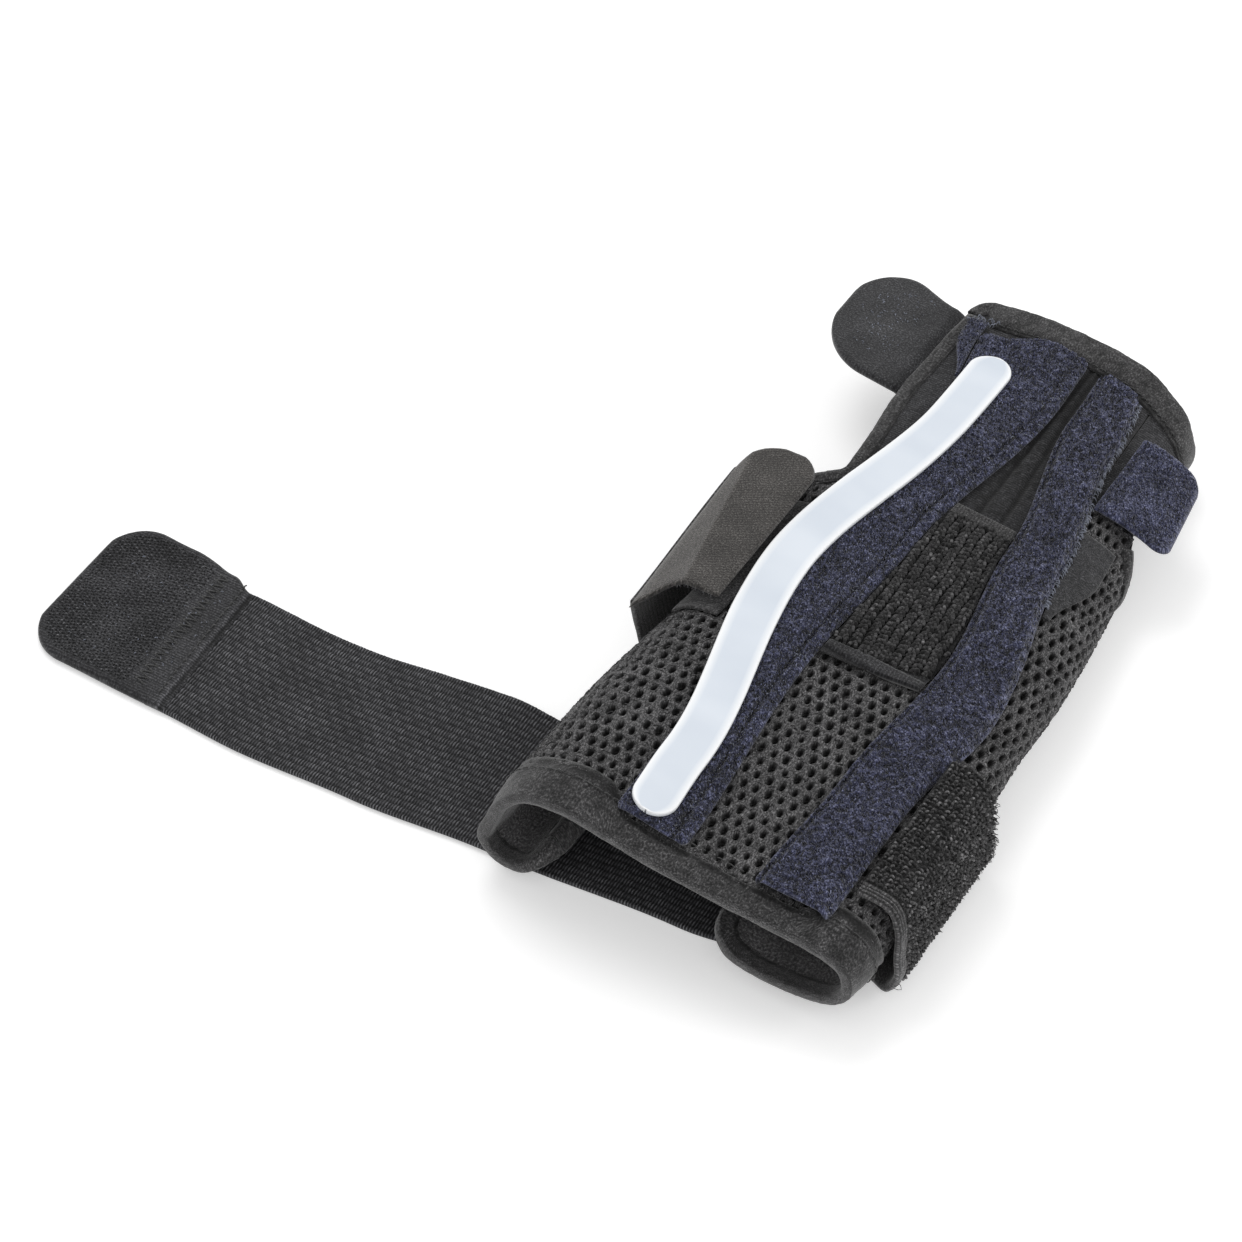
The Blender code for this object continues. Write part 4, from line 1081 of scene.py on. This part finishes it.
def make_anchor():
    """The loop-faced band that goes from beside the pocket down round the side to the strap."""
    path = [(42.5, 28.7), (50.3, 27.4), (54, 22), (55, 15), (55.4, 8.5), (52.7, 2.7), (46, 1.05)]
    end, place = banded(path, 0.7)
    near, far = -93.0, -45.0

    def lie(s, v, h):
        return place(s, v - 3.0 * ease(s, 8, 24, 0, 1) * ease(s, end - 8, end, 1, 0), h)

    s, v = np.meshgrid(rows(0, end, 0.7), rows(near, far, 0.5), indexing="ij")
    selvedge = ease(v, near + 3.2, near + 3.9, 1, 0)
    lines = np.cos((v - near) * 2 * math.pi / 1.05)
    full = rounding(np.minimum(v - near, far - v), 0.8)
    bumps = noise(s, v, 1.0) * 0.18 * (1 - selvedge) + selvedge * 0.22 * lines
    # The colour is lighter on the bumps and on the selvedge's raised lines, painted highlight; the selvedge's paler
    # band is its own colour.
    shade = np.clip(0.08 + bumps + selvedge * (0.45 + 0.35 * lines), 0, 1)
    top, bottom = lie(s, v, (0.75 + bumps) * full), lie(s, v, -0.95 * full)
    cloth = slab("anchor_band", "brushed", top, bottom, stacked(s, v), shade)
    belongs(cloth, "loop_pile", "sleeve", stands_for=["forearm_strap_anchor"])

    random = np.random.default_rng(11)
    s, v = np.meshgrid(np.arange(1.0, end - 3, 1.3), np.arange(near + 4.2, far - 0.6, 1.3), indexing="ij")
    s, v = s.ravel() + random.uniform(-0.22, 0.22, s.size), v.ravel() + random.uniform(-0.22, 0.22, s.size)
    turn = random.normal(0.6, 0.5, s.size)
    wide = random.uniform(1.0, 1.5, s.size)
    height = random.uniform(0.8, 1.3, s.size)
    shade = mottled(random, 0.66, 0.25, s.size)
    radius = random.uniform(0.26, 0.36, s.size)
    steps = (np.cos(turn) * wide, np.sin(turn) * wide)
    pile = arches("anchor_band_loops", "ribbed", lie, s, v, *steps, 0.45, height, shade, radius, points=6, sides=4)
    belongs(pile, "loop_pile", "sleeve")

    # Frayed ends along the far edge and near the strap
    along_edge, near_strap = 70, 40
    s = np.concatenate([random.uniform(4, end - 6, along_edge), random.uniform(end - 12, end - 4, near_strap)])
    v = np.concatenate([np.full(along_edge, far - 0.2), random.uniform(near, far, near_strap)])
    du, dv = random.uniform(-1.2, 1.2, s.size), random.uniform(0.3, 2.6, s.size)
    height = random.uniform(0.4, 1.9, s.size)
    frayed = arches("anchor_band_frayed", "thread", lie, s, v, du, dv, 0.5, height, radius=0.09)
    belongs(frayed, "loop_pile", "sleeve")


# ---------------------------------------------------------------- wrist strap

WRIST_NEAR = -33.0
WRIST_FAR = 14.0


def make_wrist_band():
    """The band that goes from the slot's edge round the thumb side and up to the tab."""
    path = [(-41.5, 1.2), (-46, 1.6), (-50.4, 7), (-52.3, 15), (-52.4, 21), (-51.8, 26.5), (-50.2, 33.5)]
    end, place = banded(path, 0.8)
    s, v = np.meshgrid(rows(0, end, 0.8), rows(WRIST_NEAR, WRIST_FAR, 0.45), indexing="ij")
    nearness = smooth((WRIST_FAR - v) / (WRIST_FAR - WRIST_NEAR))
    s = s * (1 - 0.19 * nearness)
    rib = np.cos(v * 2 * math.pi / 1.5)
    full = rounding(np.minimum(v - WRIST_NEAR, WRIST_FAR - v), 0.8)
    y = v - ease(s, end - 22, end, 0, 4.5) * nearness
    outwards, inwards = place(s, y, -(0.85 + 0.07 * rib) * full), place(s, y, 0.9 * full)
    # The colour follows the ribs, lighter on them and darker between them: painted shade.
    band = slab("wrist_band", "brushed", outwards, inwards, stacked(s, v), 0.55 + 0.2 * rib)
    belongs(band, "elastic", "sleeve", stands_for=["wrist_strap_band"])


def make_wrist_tab():
    """The strap's end, which folds over from the band, with two round corners at its far end."""
    near, far, right = WRIST_NEAR, 22.0, -29.2
    left_radius, right_radius = 12.0, 8.0

    def crease_x(y):
        """The slanting crease between the tab's level top and its side, which slopes down to the band."""
        return -39 - 8.5 * np.clip((y - near) / 50, 0, 1)

    def face(x, y):
        return 37.6 - 0.48 * np.log1p(np.exp((crease_x(y) - x) / 0.6))

    turns = np.radians(np.linspace(90, 0, 12))
    straight = rows(near, far - left_radius, 0.8)[:-1]
    y = np.concatenate([straight, far - left_radius * (1 - np.cos(turns))])[:, None]
    start = -52.0 + 2.2 * (y - near) / (far - near) + corner(far - y, left_radius)
    end = right - corner(far - y, right_radius)
    x = start + (end - start) * np.linspace(0, 1, 40)
    fold = 1.2 * (1 - smooth((y - (far - left_radius - 4)) / 6)) * np.clip((-48.6 - x) / 3.2, 0, 1) ** 2
    z = face(x, y) - fold
    moved_y = y - 4.5 * smooth((-41 - x) / 9) * smooth((WRIST_FAR - y) / (WRIST_FAR - near))
    full = rounding(np.minimum(np.minimum(x - start, end - x), np.minimum(y - near, far - y)), 0.9)
    crease = np.exp(-(((x - crease_x(y)) / 0.5) ** 2))
    # Painted light: the tab's left edge, its crease and the sloping facet beyond the crease are painted lighter, as if
    # lit; the colour is also lighter on the fuzz's bumps, a painted highlight.
    painted_light = 0.3 * np.exp(-(((x - start - 1.0) / 0.7) ** 2)) + 0.4 * crease + 0.3 * smooth((crease_x(y) - x) / 0.8)
    fuzz = noise(x, y, 0.8) * 0.1 + noise(x, y, 7) * 0.1
    top = stacked(x, moved_y, z + (0.9 + crease * 0.25) * full + fuzz * 0.5)
    low = stacked(x, moved_y, z - 0.95 * full)
    tab = slab("wrist_tab_cloth", "wrist", top, low, stacked(x, y), np.clip(0.5 + fuzz * 0.8 + painted_light * 0.55, 0, 1))
    bend = ("sleeve", "wrist_tab", (-50.5, 0, 35.2), (-45.5, 0, 35.2))
    belongs(tab, "elastic", bend=bend, stands_for=["wrist_strap_tab"])

    x, y = np.meshgrid(np.arange(-41.2, -30.8, 1.1), np.arange(near + 0.5, far - 8, 1.2), indexing="ij")
    below = ("wrist_tab", lambda x, y, h: stacked(x, y, face(x, y) - h), x.ravel(), y.ravel(), 0.85)
    hidden_hooks("wrist_tab_hooks", "wrist_strap_hook", *below, np.random.default_rng(3), shade=0.7)


def make_wrist_strap():
    make_wrist_band()
    make_wrist_tab()
    seat = ("wrist_strap_patch", "brushed", "knit", "wrist_strap_seat", lambda y: (-45 + 0 * y, -31 + 0 * y))
    sewn(*seat, (-36, 12), (0.6, 1.5), nap(0.5))


# ---------------------------------------------------------------- hand strap and loop tab


def make_hand_tab():
    near, far, root, end = 70.5, 111.0, -17.0, -63.0
    fold_x, top_z, thickness, crown = -36.0, 25.2, 2.6, 1.3

    x, y, away = tab_grid(root, end, near, far, 17.0, 0.75)
    out = np.clip((fold_x - x) / (fold_x - end), 0, 1)
    y = y + 4.6 * out - 3.0 * smooth(1 - out * 1.6) * smooth((y - near) / (far - near))
    full = rounding(away, 1.3)
    fuzz = noise(x, y, 0.9) * 0.1 + noise(x, y, 8) * 0.16
    inside = smooth((x - fold_x) / 14)
    # Level outside the fold, and down to the hand panel inside it
    middle = through([(fold_x, top_z), (-30, 22.6), (-24, 21.2)], x) - crown - inside * 0.8
    top = stacked(x, y, middle + (crown + fuzz * 0.5) * full)
    low = stacked(x, y, middle - (thickness - crown) * full * (1 - 0.6 * inside))
    # The colour is lighter on the fuzz's bumps: a painted highlight.
    tab = slab("hand_tab_cloth", "napped", top, low, stacked(x, y), np.clip(0.5 + fuzz * 0.8, 0, 1))
    bend = ("sleeve", "hand_tab", (-33.5, 90, top_z), (-40.5, 90, top_z))
    belongs(tab, "knit", bend=bend, stands_for=["hand_strap_tab", "hand_strap_base"])

    x, y = np.meshgrid(np.arange(-59.5, -41.5, 1.1), np.arange(near + 6, far, 1.15) + 2, indexing="ij")
    kept = (np.hypot(x + 46, y - 94.5) < 13.5) | ((x > -46) & (np.abs(y - 93.5) < 12))
    below = ("hand_tab", lambda x, y, h: stacked(x, y, top_z - thickness - h), x[kept], y[kept], -0.1)
    hidden_hooks("hand_tab_hooks", "hand_strap_hook", *below, np.random.default_rng(9), shade=0.6)


def make_loop_tab():
    near, far, radius = 54.5, 85.0, 5.0
    root, fold_x, fold_z, tip, drop = 31.4, 32.6, 26.6, 53.4, 5.4

    def outwards(x, least=0.0, most=1.0):
        return np.clip((x - fold_x) / (tip - fold_x), least, most)

    def lie(x, y, h):
        """The point of the tab h above its drooping face, drawn askew towards its tip."""
        droop = outwards(x, -1, 1.2)
        z = fold_z - drop * droop**2 * np.sign(droop)
        y = y - 2.5 * outwards(x)
        return stacked(x - outwards(x) * 3.6 * (y - near + 2.5) / (far - near), y, z + h)

    x, y, away = tab_grid(root, tip, near, far, radius, 0.6)
    drawn_y = y - 2.5 * outwards(x)
    full = rounding(away, 1.1) * ease(x, root, 34.5, 0.45, 1)
    bumps = noise(x, drawn_y, 0.8) * 0.22 + noise(x, drawn_y, 3) * 0.2
    top, low = lie(x, y, -1.0 + (1.0 + bumps) * full), lie(x, y, -1.0 - 0.95 * full)
    # The colour is lighter on the bumps' tops: a painted highlight.
    cloth = slab("loop_tab_cloth", "plush", top, low, stacked(x, drawn_y), np.clip(0.62 + bumps, 0, 1))
    bend = ("sleeve", "loop_tab", (31, 70, fold_z), (36, 70, fold_z))
    belongs(cloth, "loop_pile", bend=bend, stands_for=["hand_loop_tab"])

    random = np.random.default_rng(13)
    x, y = np.meshgrid(np.arange(root + 1, tip - 0.8, 0.62), np.arange(near + 0.8, far - 0.8, 0.62), indexing="ij")
    x = x.ravel() + random.uniform(-0.4, 0.4, x.size)
    y = y.ravel() + random.uniform(-0.4, 0.4, x.size)
    beyond_x = np.maximum(x - (tip - radius - 0.5), 0)
    beyond_y = np.maximum(np.abs(y - (near + far) / 2) - 9.75, 0)
    kept = np.hypot(beyond_x, beyond_y) < radius
    pile = plush_pile("loop_tab_pile", lie, x[kept], y[kept], -0.3, random, tone=(0.68, 0.35))
    belongs(pile, "loop_pile", bend=bend)


# ---------------------------------------------------------------- stitches and loose threads


def make_threads():
    """Stitches along the sleeve's seams, and the frayed ends of the pile strips."""
    pitch, stitch = 2.6, 1.9
    ys = np.arange(-100, 101, pitch)
    (_, inner), (left, right) = left_pocket_edges(ys), right_pocket_edges(ys)
    t, y = np.concatenate([inner - 3.9, left + 1.6, right - 1.4]), np.tile(ys, 3)
    h = np.repeat([1.55, 1.9, 1.9], len(ys))
    kept = y < hand_edge(t) - 14
    stitches("pocket_stitches", "loop_pile", "sleeve", skin, t[kept], y[kept], 0, stitch, h[kept])

    foot_t, head_t = np.arange(-80, 98, pitch), np.arange(-33, 80, pitch)
    y = np.concatenate([np.full(len(foot_t), FOREARM_END + 10.0), hand_edge(head_t) - 8.6])
    stitches("binding_stitches", "knit", "sleeve", skin, np.concatenate([foot_t, head_t]), y, stitch, 0, 0.55)

    random = np.random.default_rng(21)
    along_pocket, at_corner = 210, 40
    y = np.concatenate([random.uniform(15, 97, along_pocket), random.uniform(99, 102, at_corner)])
    t = right_pocket_edges(y)[1] + 0.2
    t[along_pocket:] = random.uniform(-35, -26, at_corner)
    reach = random.uniform(0.8, 2.6, len(y)) * np.repeat([1, 0.5], [along_pocket, at_corner])
    rise, height = random.uniform(-1.6, 1.6, len(y)), random.uniform(0.2, 1.3, len(y))
    frayed = arches("frayed_threads", "pale_thread", skin, t, y, reach, rise, 1.3, height, radius=0.11, points=6)
    belongs(frayed, "loop_pile", "sleeve")


def make_lint():
    """Pale specks of lint, caught in the cloth."""
    random = np.random.default_rng(29)

    def strewn(name, body, place, count, across, along, base, kept=None):
        u, v = random.uniform(*across, count), random.uniform(*along, count)
        if kept:
            inside = kept(u, v)
            u, v = u[inside], v[inside]
        turn = random.uniform(0, 2 * math.pi, len(u))
        size = random.uniform(0.25, 0.9, len(u))
        height = random.uniform(0.1, 0.4, len(u))
        radius = random.uniform(0.07, 0.15, len(u))
        steps = (np.cos(turn) * size, np.sin(turn) * size)
        lint = arches(name, "pale_thread", place, u, v, *steps, base, height, radius=radius, points=4)
        belongs(lint, "knit", body)

    def on_pockets(t, y):
        inside = [(t > edges(y)[0] + 1) & (t < edges(y)[1] - 1) for edges in (left_pocket_edges, right_pocket_edges)]
        return inside[0] | inside[1]

    def on_hand_tab(x, y):
        return np.hypot(x + 44, y - 94) < 15

    strewn("lint_on_pockets", "sleeve", skin, 1500, (-28, 44), (-100, 92), 2.4, on_pockets)
    strewn("lint_on_hand_tab", "hand_tab", stacked, 110, (-58, -41), (80, 108), 25.1, on_hand_tab)
    strewn("lint_on_hook_tab", "forearm_hook_tab", stacked, 70, (-188, -153), (-100, -66), 2.7)


# ---------------------------------------------------------------- stage


def make_stage():
    pale = bpy.data.materials.new("pale_floor")
    pale.use_nodes = True
    inputs = pale.node_tree.nodes["Principled BSDF"].inputs
    inputs["Base Color"].default_value = (0.85, 0.85, 0.85, 1)
    inputs["Roughness"].default_value = 0.9
    inputs["Emission Color"].default_value = (1, 1, 1, 1)
    inputs["Emission Strength"].default_value = 0.35
    bpy.ops.mesh.primitive_plane_add(size=8, location=(0, 0, -0.0002))
    floor = bpy.context.object
    floor.name = "floor"
    floor.data.materials.append(pale)

    world = bpy.data.worlds.new("studio")
    world.use_nodes = True
    background = world.node_tree.nodes["Background"]
    background.inputs["Color"].default_value = (1, 1, 1, 1)
    background.inputs["Strength"].default_value = 0.6
    bpy.context.scene.world = world

    for name, location, size, power in (
        ("key", (-0.5, 0.35, 1.1), 0.7, 5.5),
        ("front", (0.7, -0.9, 1.0), 0.9, 2.4),
        ("side", (1.0, 0.5, 0.55), 0.6, 3),
    ):
        data = bpy.data.lights.new(name, "AREA")
        data.size = size
        data.energy = power
        lamp = bpy.data.objects.new(name, data)
        lamp.location = location
        lamp.rotation_euler = Vector(-np.array(location)).to_track_quat("-Z", "Y").to_euler()
        bpy.context.scene.collection.objects.link(lamp)


def make_camera():
    """The viewing direction is 31 degrees round from the front and 45 degrees down."""
    target = (np.array([-57.5, -32.2, 13.8]) + ORIGIN) * MM
    azimuth, above, distance = math.radians(31), math.radians(45), 0.966
    back = np.array([math.sin(azimuth) * math.cos(above), -math.cos(azimuth) * math.cos(above), math.sin(above)])
    data = bpy.data.cameras.new("camera")
    data.lens = 110.8
    camera = bpy.data.objects.new("camera", data)
    camera.location = target + back * distance
    camera.rotation_euler = Vector(-back).to_track_quat("-Z", "Y").to_euler()
    bpy.context.scene.collection.objects.link(camera)
    bpy.context.scene.camera = camera


make_camera()
make_stage()
bpy.context.scene.view_settings.view_transform = "Standard"
make_laminate()
make_gusset()
make_pocket("pocket_thumb_side", left_pocket_edges, 0.8, 3.9, "pocket_left", 1)
make_pocket("pocket_finger_side", right_pocket_edges, 2.1, -1.6, "pocket_right", 2)
make_thumb_pile()
make_loose_stay()
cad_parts["stay_right"].data.materials.clear()
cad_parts["stay_right"].data.materials.append(MATERIALS["stay"])
make_bindings()
make_forearm_strap()
make_wrist_strap()
make_hand_tab()
make_loop_tab()
make_threads()
make_lint()
